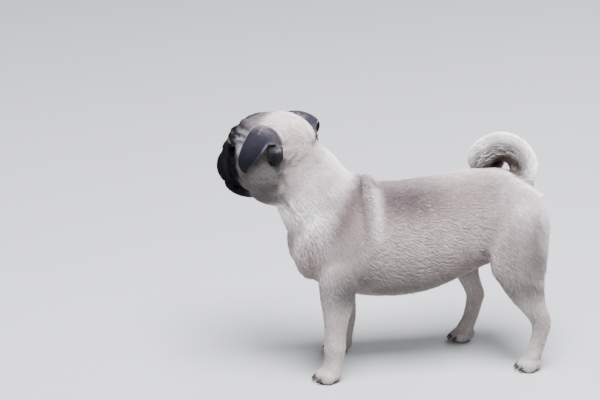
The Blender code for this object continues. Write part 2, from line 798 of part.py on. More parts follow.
def material(name):
    """A plain finish for one slot."""
    found = bpy.data.materials.get(name)
    if found:
        return found
    colour, roughness = COLOURS[name]
    made = bpy.data.materials.new(name)
    made.use_nodes = True
    shader = made.node_tree.nodes["Principled BSDF"]
    shader.inputs["Base Color"].default_value = (*colour, 1)
    shader.inputs["Roughness"].default_value = roughness
    shader.inputs["Metallic"].default_value = 0
    return made


def place_on_floor(pieces):
    """Centres the dog over the origin, and gives each piece an origin in its own middle."""
    corners = [Vector(c) for obj, _ in pieces for c in obj.bound_box]
    middle_x = (min(c.x for c in corners) + max(c.x for c in corners)) / 2
    middle_y = (min(c.y for c in corners) + max(c.y for c in corners)) / 2
    dog = bpy.data.objects.new("pug", None)
    bpy.context.scene.collection.objects.link(dog)
    dog.location = (-middle_x, -middle_y, 0)
    for obj, finish in pieces:
        centre = sum((Vector(c) for c in obj.bound_box), Vector()) / 8
        obj.data.transform(Matrix.Translation(-centre))
        obj.location = centre
        obj.parent = dog
        obj.data.materials.clear()
        obj.data.materials.append(material(finish))


def main():
    for obj in list(bpy.data.objects):
        bpy.data.objects.remove(obj)
    fine = whole_body()
    body = copied(fine, "body")
    thin(fine, HEAD_AND_PAW_TRIANGLES)
    thin(body, BODY_TRIANGLES)
    tail_ends = tail_pieces(body)
    head = copied(fine, "head")
    combine(head, half_space(*HEAD_CUT, grow=-GAP / 2), "INTERSECT")
    combine(body, half_space(*HEAD_CUT, grow=GAP / 2), "DIFFERENCE")
    keep_largest(head)
    keep_largest(body)
    pieces = head_pieces(head, fine) + [(head, "fawn coat")]
    pieces += body_pieces(fine, body) + tail_ends
    bpy.data.objects.remove(fine)
    place_on_floor(pieces)


if __name__ == "__main__":
    main()
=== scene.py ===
"""The looks of a pug puppy, a still life-size model that stands with its head turned away.

One skin is fused from rounded forms, creased, marked and coloured, and stands for all the flesh. Short tufts
of fur lie over it, in the same colours. Eyes, nose leather and claws are pieces of their own. Shapes are
worked out in millimetres in the dog's own frame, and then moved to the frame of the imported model.
"""

import math

import bmesh
import bpy
import numpy as np
from bpy.props import FloatProperty, FloatVectorProperty, IntProperty, PointerProperty
from mathutils import Euler, Matrix, Vector
from mathutils.bvhtree import BVHTree


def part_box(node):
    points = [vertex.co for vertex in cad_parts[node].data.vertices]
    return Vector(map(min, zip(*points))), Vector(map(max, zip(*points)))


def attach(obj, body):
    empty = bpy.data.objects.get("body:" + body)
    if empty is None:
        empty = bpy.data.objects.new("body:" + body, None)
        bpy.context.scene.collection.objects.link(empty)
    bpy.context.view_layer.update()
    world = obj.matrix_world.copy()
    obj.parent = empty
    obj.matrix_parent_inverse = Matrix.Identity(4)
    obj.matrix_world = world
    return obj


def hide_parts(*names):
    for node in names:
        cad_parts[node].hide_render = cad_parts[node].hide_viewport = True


bl_info = {
    "name": "Pug puppy",
    "version": (1, 0, 0),
    "blender": (4, 5, 0),
    "location": "3D View > Sidebar > Pug",
    "description": "Skin, coat, eyes, nose and claws of a standing pug puppy",
    "category": "Object",
}

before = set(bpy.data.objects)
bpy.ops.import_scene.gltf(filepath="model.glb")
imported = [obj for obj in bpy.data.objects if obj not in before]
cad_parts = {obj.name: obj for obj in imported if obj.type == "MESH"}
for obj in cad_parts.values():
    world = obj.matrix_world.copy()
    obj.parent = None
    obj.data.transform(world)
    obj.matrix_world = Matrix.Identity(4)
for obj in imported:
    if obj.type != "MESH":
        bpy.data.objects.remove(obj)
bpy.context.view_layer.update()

MM = 0.001
RING_SIDES = 40

# How each form is fused: its grid in millimetres, and the rounds of easing after it.
CORE_FUSING = (2.6, 20)
LEGS_FUSING = (1.2, 5)
HEAD_FUSING = (1.3, 7)
NOSE_FUSING = (0.45, 4)

# Trunk stations from the forechest to the rump: x, top, bottom, half width.
TRUNK = (
    (-94, 158, 122, 15),
    (-88, 168, 109, 24),
    (-76, 178, 97, 33),
    (-56, 187, 86, 40),
    (-28, 191, 77, 43),
    (10, 188, 74, 45),
    (45, 191, 79, 45),
    (78, 195, 93, 42),
    (105, 197, 103, 38),
    (128, 192, 112, 35),
    (145, 179, 122, 30),
    (156, 162, 136, 20),
)
# How far up the trunk is widest, as a share of its height, and how full its oval is across and upwards.
TRUNK_WIDEST = 0.52
TRUNK_FULLNESS = (0.86, 0.93)

# Neck stations along its axis: x, y, z, half depth, half width.
NECK = (
    (-28, 0, 136, 49, 42),
    (-51, 0, 153, 45, 39),
    (-67, 1, 175, 40.5, 37),
    (-79.5, 3, 194.5, 37, 35.5),
    (-92, 5, 209, 35, 35),
    (-103, 6, 220, 32, 33),
)

# The roll of loose skin over the withers, where the neck meets the back: centre and radii.
WITHERS = ((-31, 0, 174), (25, 22, 27))

# Shoulder, forechest and haunch: centre, radii, and turn in degrees. Each is made on both sides.
BODY_MASSES = (
    ((-58, 29, 138), (29, 16, 42), (0, -14, 0)),
    ((-78, 18, 130), (17, 16, 30), (0, 0, 0)),
    ((128, 20, 160), (27, 16, 27), (0, 0, 0)),
)

# The head's own axes are forward, left and up, from the middle of the skull.
HEAD_AT = (-110, 8, 227)
HEAD_TURN = 40
HEAD_LIFT = -3
HEAD_LEAN = 7

# Rounded forms of the head: centre and radii. One with a sideways offset is made on both sides.
HEAD_FORMS = {
    "cranium": ((-6, 0, 6), (37, 37, 32)),
    "forehead": ((12, 0, 9), (25, 33, 26)),
    "cheek": ((3, 22, -13), (30, 20, 27)),
    "muzzle root": ((29, 0, -12), (21, 26, 20)),
    "flew": ((40, 11.5, -18), (15, 14.5, 18)),
    "lip front": ((45, 0, -14), (10, 12, 12)),
    "jaw": ((25, 0, -38), (26, 19, 12)),
    "chin": ((42, 0, -37), (10.5, 13, 8.5)),
    "throat": ((-4, 0, -34), (31, 27, 21)),
    "brow": ((22, 16, 20), (10, 13, 8)),
    "eye mound": ((22, 22.5, 11.5), (9, 12, 11.5)),
}
NOSE_ROLL_RADIUS = 5
NOSE_ROLL = ((36, 21, -8), (42, 14, 2), (44, 0, 7))

EYE_AT = (26, 24, 12)
# Where the eye looks, in degrees to its side of straight ahead.
GAZE = 25
# How far the cornea reaches round the eyeball, in radians.
CORNEA_WIDTH = 0.55
# Half the opening between the lids across and upwards, in degrees at the eyeball's middle, the steps of their
# edge round it, its gap to the eyeball, and the radius of the lids and of the sharper edge on them.
LID_OPENING = (64, 52)
LID_STEPS = 8
LID_GAP = 0.2
LID_RADIUS = 1.9
LID_EDGE_RADIUS = 1.0

NOSE_FORMS = {
    "middle": ((48.5, 0, -3.5), (6.6, 8, 6.4)),
    "wing": ((49, 6, -4.2), (5.6, 4.4, 5.2)),
    "bridge": ((46.5, 0, 0.5), (6, 7.5, 4)),
}
NOSTRIL = ((55, 3.4, -3.6), (54.6, 5.2, -2.8), (52.4, 8, -4.4), (50.5, 10, -6.4))
NOSE_LINE = ((56, 0, 0), (56, 0, -5), (54, 0, -11))

# Leg stations from the top down: x, y, z, half length, half width. y is the distance from the middle plane.
NEAR_FORELEG = (
    (-54, 26, 140, 20, 12),
    (-52, 33, 120, 22, 14),
    (-53, 36, 101, 20.5, 13),
    (-55, 37, 86, 17, 12.5),
    (-56, 38, 70, 13.8, 11.5),
    (-57, 38, 52, 11.3, 10.5),
    (-57.5, 38, 37, 11.2, 11),
    (-58, 38, 24, 10, 10.5),
    (-60, 38, 12, 10.5, 11),
)
# How far back the far foreleg stands, from what level down, and the share of it at the shoulder.
FAR_FORELEG_BACK = 25
FAR_FORELEG_LEVEL = 50
FAR_SHOULDER_SHARE = 0.15
NEAR_HINDLEG = (
    (127, 18, 176, 26, 14),
    (127, 25, 152, 31, 17),
    (125, 33, 128, 30, 16.5),
    (124.5, 39, 107, 27.5, 14.5),
    (129, 41.5, 90, 22, 12.5),
    (135, 43, 74, 17, 11),
    (143, 44, 60, 13, 10),
    (148, 44, 50, 10.8, 9),
    (148, 44, 39, 9, 8.5),
    (145, 44, 27, 8.5, 8.5),
    (141, 44, 15, 9.5, 10),
)
FAR_HINDLEG = (
    (122, 18, 176, 26, 14),
    (113, 26, 152, 31, 17),
    (101, 33, 128, 29.5, 17),
    (90, 38, 108, 24, 15),
    (88, 40.5, 92, 18, 12.5),
    (92.5, 42, 76, 13.3, 11),
    (98.5, 43, 62, 11, 10),
    (103, 43, 50, 10, 9),
    (102, 43, 40, 8.8, 8.5),
    (99, 43, 27, 8.3, 8.5),
    (94, 43, 15, 9.5, 10),
)
# A paw of size 1: the radii and height of its pad, and its toes, which fan out and dip by so many degrees.
PAW_PAD = (12, 11.5, 10)
PAW_PAD_LEVEL = 9
TOES = (-1.5, -0.5, 0.5, 1.5)
TOE_RADII = (8, 4.3, 7.2)
TOE_SPREAD = 5.8
TOE_LEVEL = 6.2
INNER_TOE_REACH = 8.5
OUTER_TOE_REACH = 5
TOE_FAN = 6
TOE_DIP = 12
FORE_PAW_SIZE = 1.0
HIND_PAW_SIZE = 0.94

# A claw: its rings, its height against its width, its taper and tip, its droop, and its place on the toe.
CLAW_RINGS = 7
CLAW_SIDES = 8
CLAW_HEIGHT = 1.25
CLAW_TAPER = 0.75
CLAW_TIP = 0.08
CLAW_DROOP = 20
CLAW_AHEAD = 6.2
CLAW_UP = 0.4

# Folds pressed into the head: path on the head's axes, depth, half width, and the roll beside it.
HEAD_FOLDS = {
    "muzzle": (((46, 8, 8), (41, 18, 1), (36, 24.5, -10), (33, 26.5, -22), (30, 25, -34)), 3, 2.3, 1.2),
    "under the eye": (((40, 13, 7), (35, 27, -4), (24, 34, -3)), 1.6, 1.8, 0.6),
    "brow": (((38, 4, 16), (33, 10, 26), (22, 11, 34)), 1.8, 2.4, 0.8),
    "over the eye": (((34, 12, 24), (25, 27, 29), (10, 34, 24)), 1.6, 2.4, 0.8),
    "mouth": (((54, 0.5, -29), (50, 9, -32), (44, 18, -36), (34, 24, -36), (24, 26, -32)), 2.4, 1.3, 0.5),
    "temple": (((20, 36, 22), (12, 39, 12), (10, 40, 0)), 1.0, 1.8, 0.4),
    "cheek": (((26, 34, -12), (20, 38, -20), (12, 38, -30)), 1.1, 2.0, 0.5),
    "crown": (((28, 5, 32), (18, 9, 37), (6, 12, 39)), 0.8, 1.8, 0.4),
}
MIDDLE_FOLDS = {
    "philtrum": (((56, 0, -12), (55, 0, -28)), 1.4, 1.2, 0),
    "forehead": (((38, 0, 16), (34, 0, 26), (24, 0, 34)), 1.1, 1.5, 0.5),
}
# The steps of a fold between two of its points, how many half widths out its rolls lie, and how much of it is
# left at its ends.
FOLD_STEPS = 14
ROLL_AT = 2.3
FOLD_END = 0.12

# Folds of the body: path in the dog's frame, depth, half width, roll. A ridge has a negative depth.
# The first two run over the withers and die out down both shoulders.
SADDLE_FOLDS = {
    "valley": (((-26, 0, 197), (-27, 22, 188), (-29, 37, 168), (-29, 43, 146), (-36, 45, 128)), 1.9, 3.2, 0),
    "ridge": (((-18, 0, 194), (-18, 20, 188), (-19, 38, 170), (-18, 43, 146), (-26, 45, 128)), -3.0, 5.6, 0),
}
SIDE_FOLDS = {
    "neck": (((-108, 28, 212), (-107, 28, 200), (-107, 26, 186), (-103, 22, 174)), 1.7, 3, 1.1),
    "nape": (((-93, 30, 233), (-100, 32, 223), (-106, 30, 211)), 0.9, 1.9, 0.5),
    "elbow": (((-36, 38, 112), (-34, 42, 98), (-38, 40, 86)), 1.2, 3, 0.4),
    "flank": (((88, 38, 128), (92, 40, 116), (98, 38, 106)), 0.9, 4, 0.3),
}

# The left ear from its root in the skull over the fold to its tip, on the head's axes:
# the front edge, the rear edge, and how far the middle bulges out between them.
EAR_ROWS = (
    ((0, 22, 21.5), (-27.5, 27, -1), 4),
    ((1, 27, 25), (-30, 35, -0.5), 8),
    ((1.5, 33, 26.5), (-28, 40, 10.5), 9),
    ((3, 41, 21.5), (-22.5, 45, 12.5), 7.5),
    ((6.5, 46.5, 11), (-16.5, 47, 5.5), 5),
    ((10, 48, 0), (-9, 47, -3.5), 3.5),
    ((11, 47, -9), (-2, 46, -10.5), 1.5),
    ((6.5, 46, -16.5), (1, 46, -16.5), 0.3),
)
# The right ear is held up and back, so that its fold shows behind the skull.
RAISED_EAR_ROWS = (
    ((0, 22, 21.5), (-27.5, 27, -1), 4),
    ((4, 26, 25), (-29, 32, 8), 4.5),
    ((8, 28, 29), (-29, 37, 18), 4.5),
    ((8, 32, 31), (-28, 41, 24), 4.5),
    ((3, 38, 28.5), (-27.5, 45, 21), 4),
    ((-4, 43, 24), (-26.5, 47, 15), 4),
    ((-11, 45, 16.5), (-24, 47, 10), 2),
    ((-17, 45, 9), (-21, 45, 6.5), 0.3),
)
# The inner lobe at the back of the ear's opening, from its top down.
LOBE_ROWS = (
    ((-17, 41, 11), (-31, 33, 11), 2.2),
    ((-16, 41, 5), (-31, 33.5, 3.5), 2.6),
    ((-17, 39, -1), (-29.5, 32.5, -3), 2.2),
    ((-19, 36, -5), (-26.5, 32.5, -6.5), 0.8),
)
RAISED_LOBE_LIFT = 4
EAR_HOLE = (-15, 39, 4)
EAR_THICKNESS = 2.5
# A point leaves a flap between these distances off its middle face and from its nearest laid point, and its root
# ends between these shares of its length.
EAR_SKIN = (2.2, 3.4)
EAR_REACH = (3.4, 5)
EAR_ROOT = (0.1, 0.24)
# How much thinner a flap is at its tip and along its rim, as shares of its thickness.
EAR_TIP_THINNING = 0.35
EAR_RIM_THINNING = 0.5

# The tail's middle line from the rump round its curl to the tip: x, y, z, radius.
TAIL = (
    (124, 0, 160, 13),
    (135, 1, 180, 14),
    (137.5, 3, 199, 13.5),
    (130, 7, 211.5, 13),
    (117, 11, 216, 12.5),
    (105.5, 15, 211, 12),
    (100.5, 20, 203, 11.5),
    (103, 26, 197, 11),
    (110, 31, 194, 11),
    (118, 34, 195, 9.5),
    (125, 35, 198, 4),
)
TAIL_EYE = (118, 12, 202)
# The tail lies beyond this x and z. Its skin ends between so much and so much outside its radius, and the rump
# turns into it between the two levels.
TAIL_CORNER = (80, 168)
TAIL_SKIN = (1.5, 4)
TAIL_ROOT_LEVELS = (182, 196)

# Where the head and the neck begin: a point of the plane and the way it faces, and between what distances
# beyond it one turns into the other.
HEAD_CUT = ((-91, 5, 204), (-0.7, 0.1, 0.7))
HEAD_BLEND = (-9, 7)
NECK_CUT = ((-52, 0, 165), (-0.8, 0, 0.6))
NECK_BLEND = (-14, 14)
# How far the easing of the nape reaches from the head's plane, and where it begins, up the head's axes.
NAPE_REACH = 13
NAPE_HEIGHTS = (-30, -8)
NAPE_ROUNDS = 90
EASING_STEP = 0.7

# The solids that the skin stands for, with the coat on it.
FLESH_NODES = (
    "torso", "neck", "head", "muzzle", "lower_jaw", "ear_left", "ear_right",
    "tail_base", "tail_curl", "tail_tip",
    "shoulder_left", "shoulder_right", "forearm_left", "forearm_right", "forepaw_left", "forepaw_right",
    "thigh_left", "thigh_right", "shank_left", "shank_right", "hock_left", "hock_right",
    "hindpaw_left", "hindpaw_right",
)

# The tan band down the shoulder, from its top to its end: x and z.
SHOULDER_BAND = ((-27, 198), (-74, 132))

# The stretches of the coat. Each point of the skin carries the number of its stretch.
COAT_NAMES = (
    "coat_head_left", "coat_head_right", "coat_neck", "coat_flank_left", "coat_flank_right",
    "coat_foreleg_left", "coat_foreleg_right", "coat_haunch_left", "coat_haunch_right", "coat_tail",
)
COAT_NUMBERS = {name: number for number, name in enumerate(COAT_NAMES, 1)}
# Where the coat of the head is parted, on the head's left axis: it keeps both parts of a size.
HEAD_PARTING = 3.5
# How much of the bake map a tuft spreads over, for each unit of its own size.
TUFT_PATCH = 0.003

# The studio lamps: place from the middle of the dog, and size, in metres.
LAMPS = {
    "key": ((0.0, -0.75, 2.25), 1.4),
    "fill": ((-1.6, -1.6, 1.2), 1.6),
    "back": ((1.4, 1.2, 1.6), 1.2),
}
LAMP_AIM = (0, 0, 0.13)
LAMP_COLOUR = (0.91, 0.925, 1.0)
SKY_COLOUR = (0.87, 0.91, 1.0, 1)

# The camera's place round the dog, in degrees and metres, and how wide the picture is where the dog stands.
CAMERA_AZIMUTH = -10
CAMERA_ELEVATION = 19
CAMERA_DISTANCE = 2.4
PICTURE_WIDTH = 0.6
SENSOR = 36
CAMERA_CLIP = (0.01, 50)
# How far the dog's own origin lies right of the picture's middle and below it.
DOG_RIGHT = 0.084
DOG_BELOW = 0.162


def smooth_stations(stations, per_span=5):
    """The stations with smooth ones between them, by a Catmull-Rom curve through every column."""
    table = np.array(stations, float)
    padded = np.vstack([2 * table[0] - table[1], table, 2 * table[-1] - table[-2]])
    rows = []
    for i in range(1, len(padded) - 2):
        before, start, end, after = padded[i - 1 : i + 3]
        for t in np.arange(per_span) / per_span:
            bend = 2 * before - 5 * start + 4 * end - after
            turn = 3 * start - before - 3 * end + after
            rows.append(start + 0.5 * ((end - before) * t + bend * t**2 + turn * t**3))
    rows.append(table[-1])
    return np.array(rows)


def head_matrix():
    """Places the head's forward, left and up axes in the dog's frame."""
    turn = Matrix.Rotation(math.radians(180 - HEAD_TURN), 4, "Z")
    lift = Matrix.Rotation(math.radians(-HEAD_LIFT), 4, "Y")
    lean = Matrix.Rotation(math.radians(HEAD_LEAN), 4, "X")
    return Matrix.Translation(Vector(HEAD_AT)) @ turn @ lift @ lean


def to_side(point, side):
    """A point of the left side, or the same one on the other side."""
    return (point[0], point[1] * side, *point[2:])


def mirrored(path, side):
    """A path of the dog's or the head's left side, or the same one on the other side."""
    return [to_side(point, side) for point in path]


def eye_centre(side):
    return head_matrix() @ Vector(to_side(EYE_AT, side))


def frame_shift():
    """From the dog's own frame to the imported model's, in metres, read from where the left eye is."""
    low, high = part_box("eye_left")
    return (low + high) / 2 - eye_centre(1) * MM


def eye_radius():
    """The eyeball's radius in millimetres, as the solids have it."""
    low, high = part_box("eye_left")
    return (high - low).z / 2 / MM


SHIFT = frame_shift()
EYE_RADIUS = eye_radius()


def link(name, mesh):
    obj = bpy.data.objects.new(name, mesh)
    bpy.context.scene.collection.objects.link(obj)
    return obj


def face_out(shape):
    """Turns the faces of a closed surface outwards."""
    bmesh.ops.recalc_face_normals(shape, faces=shape.faces)
    if shape.calc_volume(signed=True) < 0:
        bmesh.ops.reverse_faces(shape, faces=shape.faces)


def from_bmesh(name, shape):
    """An object in millimetres from a bmesh, with its faces turned out."""
    face_out(shape)
    mesh = bpy.data.meshes.new(name)
    shape.to_mesh(mesh)
    shape.free()
    return link(name, mesh)


def settle(obj):
    """Replaces an object's mesh by the one that its modifiers make."""
    graph = bpy.context.evaluated_depsgraph_get()
    made = bpy.data.meshes.new_from_object(obj.evaluated_get(graph))
    old = obj.data
    obj.modifiers.clear()
    obj.data = made
    bpy.data.meshes.remove(old)


def into_frame(obj):
    """Takes a finished piece from millimetres in the dog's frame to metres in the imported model's."""
    obj.data.transform(Matrix.Translation(SHIFT) @ Matrix.Scale(MM, 4))
    obj.data.update()


def rise(values, low, high):
    """0 below low, 1 above high, and a smooth rise between them."""
    share = np.clip((values - low) / (high - low), 0, 1)
    return share * share * (3 - 2 * share)


def fall(values, low, high):
    """1 below low, 0 above high, and a smooth fall between them."""
    return 1 - rise(values, low, high)


def bell(values, middle, width):
    """1 at the middle, and a smooth fall to both sides."""
    return np.exp(-(((values - middle) / width) ** 2))


def radii_away(points, centre, radii=1):
    """How far points are from a centre, counted in radii."""
    return np.linalg.norm((points - np.array(centre)) / np.array(radii), axis=1)


class Clay:
    """Closed shells in millimetres that are fused into one rounded skin."""

    def __init__(self, frame_matrix=None):
        self.shells = bmesh.new()
        self.frame = frame_matrix or Matrix.Identity(4)

    def ball(self, centre, radii, turn=(0, 0, 0)):
        angles = Euler([math.radians(a) for a in turn]).to_matrix().to_4x4()
        place = self.frame @ Matrix.Translation(Vector(centre)) @ angles @ Matrix.Diagonal((*radii, 1))
        bmesh.ops.create_icosphere(self.shells, subdivisions=3, radius=1, matrix=place)

    def forms(self, table):
        """Balls from a table of centres and radii. One with a sideways offset is made on both sides."""
        for centre, radii in table.values():
            for side in (-1, 1) if centre[1] else (0,):
                self.ball(to_side(centre, side), radii)

    def loft(self, rings):
        """A closed tube through rings of points, with its ends filled."""
        made = [[self.shells.verts.new(self.frame @ Vector(p)) for p in ring] for ring in rings]
        sides = len(made[0])
        for low, high in zip(made, made[1:]):
            for k in range(sides):
                n = (k + 1) % sides
                self.shells.faces.new((low[k], low[n], high[n], high[k]))
        self.shells.faces.new(list(reversed(made[0])))
        self.shells.faces.new(made[-1])

    def cord(self, points, radius):
        """A round cord through the points, as close-set balls."""
        for point in smooth_stations(points, 6):
            self.ball(point, (radius, radius, radius))

    def add(self, obj):
        """Takes in the mesh of an object, and removes the object."""
        self.shells.from_mesh(obj.data)
        bpy.data.objects.remove(obj)

    def fused(self, name, voxel, rounds):
        """One object whose skin is the outside of all the shells, eased by rounds of smoothing."""
        obj = from_bmesh(name, self.shells)
        remesh = obj.modifiers.new("fuse", "REMESH")
        remesh.mode = "VOXEL"
        remesh.voxel_size = voxel
        remesh.use_smooth_shade = True
        ease = obj.modifiers.new("ease", "SMOOTH")
        ease.factor = 0.5
        ease.iterations = rounds
        settle(obj)
        return obj


def level_ring(x, y, z, half_length, half_width):
    """A level oval ring round a leg."""
    angles = np.arange(RING_SIDES) * 2 * math.pi / RING_SIDES
    return [(x + half_length * math.cos(a), y + half_width * math.sin(a), z) for a in angles]


def trunk_ring(x, top, bottom, half_width):
    """An upright ring round the trunk, a little fuller at the sides than a plain oval."""
    widest = bottom + (top - bottom) * TRUNK_WIDEST
    ring = []
    for k in range(RING_SIDES):
        angle = 2 * math.pi * k / RING_SIDES
        across, along = math.cos(angle), math.sin(angle)
        side = math.copysign(abs(across) ** TRUNK_FULLNESS[0], across) * half_width
        height = math.copysign(abs(along) ** TRUNK_FULLNESS[1], along)
        ring.append((x, side, widest + height * ((top - widest) if along > 0 else (widest - bottom))))
    return ring


def square_rings(rows, sides=RING_SIDES):
    """Rings square to a path. A row holds x, y, z, half depth and half width, or one radius."""
    rings = []
    for i, row in enumerate(rows):
        ahead = Vector(rows[min(i + 1, len(rows) - 1)][:3]) - Vector(rows[max(i - 1, 0)][:3])
        ahead.normalize()
        side = Vector((0, 1, 0))
        side = (side - ahead * side.dot(ahead)).normalized()
        up = side.cross(ahead)
        centre = Vector(row[:3])
        angles = np.arange(sides) * 2 * math.pi / sides
        rings.append([centre + side * row[-1] * math.cos(a) + up * row[3] * math.sin(a) for a in angles])
    return rings


def limb_stations():
    """Each leg's side and stations. The far foreleg stands like the near one, drawn back at its foot."""
    shoulder = NEAR_FORELEG[0][2]
    far_fore = []
    for x, y, z, length, width in NEAR_FORELEG:
        down = (1 - FAR_SHOULDER_SHARE) * (shoulder - z) / (shoulder - FAR_FORELEG_LEVEL)
        share = min(1, FAR_SHOULDER_SHARE + down)
        far_fore.append((x + FAR_FORELEG_BACK * share, y, z, length, width))
    return ((-1, NEAR_FORELEG), (1, far_fore), (-1, NEAR_HINDLEG), (1, FAR_HINDLEG))


def paw_places():
    """The middle of each paw and its size."""
    sizes = (FORE_PAW_SIZE, FORE_PAW_SIZE, HIND_PAW_SIZE, HIND_PAW_SIZE)
    feet = [(rows[-1][0] - 1, side * rows[-1][1]) for side, rows in limb_stations()]
    return [(*foot, size) for foot, size in zip(feet, sizes)]


def toe_places():
    """The middle of each toe, how far it turns out, and its size."""
    places = []
    for x, y, size in paw_places():
        for toe in TOES:
            reach = (INNER_TOE_REACH if abs(toe) < 1 else OUTER_TOE_REACH) * size
            place = (x - reach, y + toe * TOE_SPREAD * size, TOE_LEVEL * size)
            places.append((place, toe * TOE_FAN, size))
    return places


def body_core():
    """The trunk, neck, shoulders and haunches, well blended."""
    clay = Clay()
    clay.loft([trunk_ring(*row) for row in smooth_stations(TRUNK)])
    clay.loft(square_rings(smooth_stations(NECK)))
    clay.ball(*WITHERS)
    for side in (-1, 1):
        for centre, radii, turn in BODY_MASSES:
            clay.ball(to_side(centre, side), radii, turn)
    for side, stations in limb_stations():
        rows = smooth_stations(mirrored(stations, side))
        clay.loft([level_ring(*row) for row in rows[: len(rows) * 2 // 5]])
    return clay.fused("core", *CORE_FUSING)


def legs():
    """Four legs, each with a broad pad and four toes."""
    clay = Clay()
    for side, stations in limb_stations():
        clay.loft([level_ring(*row) for row in smooth_stations(mirrored(stations, side))])
    for x, y, size in paw_places():
        clay.ball((x, y, PAW_PAD_LEVEL * size), [radius * size for radius in PAW_PAD])
    for centre, turn, size in toe_places():
        clay.ball(centre, [radius * size for radius in TOE_RADII], (0, TOE_DIP, turn))
    return clay.fused("legs", *LEGS_FUSING)


def lid_ring():
    """Points round the left eye along the edge of its lids, on the head's axes."""
    turn = math.radians(GAZE)
    gaze = Vector((math.cos(turn), math.sin(turn), 0))
    aside = Vector((-math.sin(turn), math.cos(turn), 0))
    ring = []
    for k in range(LID_STEPS + 1):
        angle = 2 * math.pi * k / LID_STEPS
        across, up = math.cos(angle), math.sin(angle)
        reach = math.radians(math.hypot(LID_OPENING[0] * across, LID_OPENING[1] * up))
        point = gaze * math.cos(reach) + (aside * across + Vector((0, 0, up))) * math.sin(reach)
        ring.append(Vector(EYE_AT) + point * (EYE_RADIUS + LID_GAP))
    return ring


def head_core():
    """Skull, muzzle and jaw, with the roll over the nose and the lids."""
    clay = Clay(head_matrix())
    clay.forms(HEAD_FORMS)
    for side in (-1, 1):
        clay.cord(mirrored(NOSE_ROLL, side), NOSE_ROLL_RADIUS)
        clay.cord(mirrored(lid_ring(), side), LID_RADIUS)
    return clay.fused("head_core", *HEAD_FUSING)


def ear_flaps():
    """Each flap of the ears: its side, its rows, and whether it is the inner lobe."""
    lifted = []
    for (*front, front_up), (*rear, rear_up), bulge in LOBE_ROWS:
        lifted.append(((*front, front_up + RAISED_LOBE_LIFT), (*rear, rear_up + RAISED_LOBE_LIFT), bulge))
    return ((1, EAR_ROWS, False), (-1, RAISED_EAR_ROWS, False), (1, LOBE_ROWS, True), (-1, lifted, True))


def ear_grid(side, flap_rows, across, per_span):
    """Rows of points over a flap's middle face, with the way out of it at each row, in the dog's frame."""
    rows = smooth_stations([(*front, *rear, bulge) for front, rear, bulge in flap_rows], per_span)
    middles = [(Vector(row[:3]) + Vector(row[3:6])) / 2 for row in rows]
    place = head_matrix()
    grid = []
    for i, row in enumerate(rows):
        ahead = middles[min(i + 1, len(rows) - 1)] - middles[max(i - 1, 0)]
        to_rear = Vector(row[3:6]) - Vector(row[:3])
        outward = ahead.cross(to_rear).normalized()
        points = []
        for b in np.linspace(-1, 1, across):
            point = middles[i] + to_rear * b / 2 + outward * row[6] * (1 - b * b)
            points.append(place @ Vector(to_side(point, side)))
        grid.append((points, place.to_3x3() @ Vector(to_side(outward, side))))
    return grid


def ear(side, flap_rows, across=13, per_span=5):
    """A folded flap, cupped at its root, with an outer and an inner face."""
    grid = ear_grid(side, flap_rows, across, per_span)
    last = len(grid) - 1
    shape = bmesh.new()
    faces = {}
    for lift in (0.5, -0.5):
        rows = []
        for i, (points, outward) in enumerate(grid):
            thickness = EAR_THICKNESS * (1 - EAR_TIP_THINNING * i / last)
            edges = 1 - EAR_RIM_THINNING * np.abs(np.linspace(-1, 1, across)) ** 4
            rows.append([shape.verts.new(p + outward * lift * thickness * e) for p, e in zip(points, edges)])
        faces[lift] = rows
    outer, inner = faces.values()
    for rows in (outer, inner):
        for i in range(last):
            for k in range(across - 1):
                shape.faces.new((rows[i][k], rows[i][k + 1], rows[i + 1][k + 1], rows[i + 1][k]))
    for i in range(last):
        for k in (0, across - 1):
            shape.faces.new((outer[i][k], outer[i + 1][k], inner[i + 1][k], inner[i][k]))
    for k in range(across - 1):
        for i in (0, last):
            shape.faces.new((outer[i][k], outer[i][k + 1], inner[i][k + 1], inner[i][k]))
    return from_bmesh("ear", shape)


def flesh(voxel, rounds):
    """The whole dog without eyes, nose and claws, as one closed skin."""
    clay = Clay()
    clay.add(body_core())
    clay.add(legs())
    clay.add(head_core())
    for side, flap_rows, _ in ear_flaps():
        clay.add(ear(side, flap_rows))
    clay.loft(square_rings(smooth_stations(TAIL, 6), 28))
    clay.frame = head_matrix()
    for side in (-1, 1):
        clay.cord(mirrored(lid_ring(), side), LID_EDGE_RADIUS)
    return clay.fused("skin", voxel, rounds)


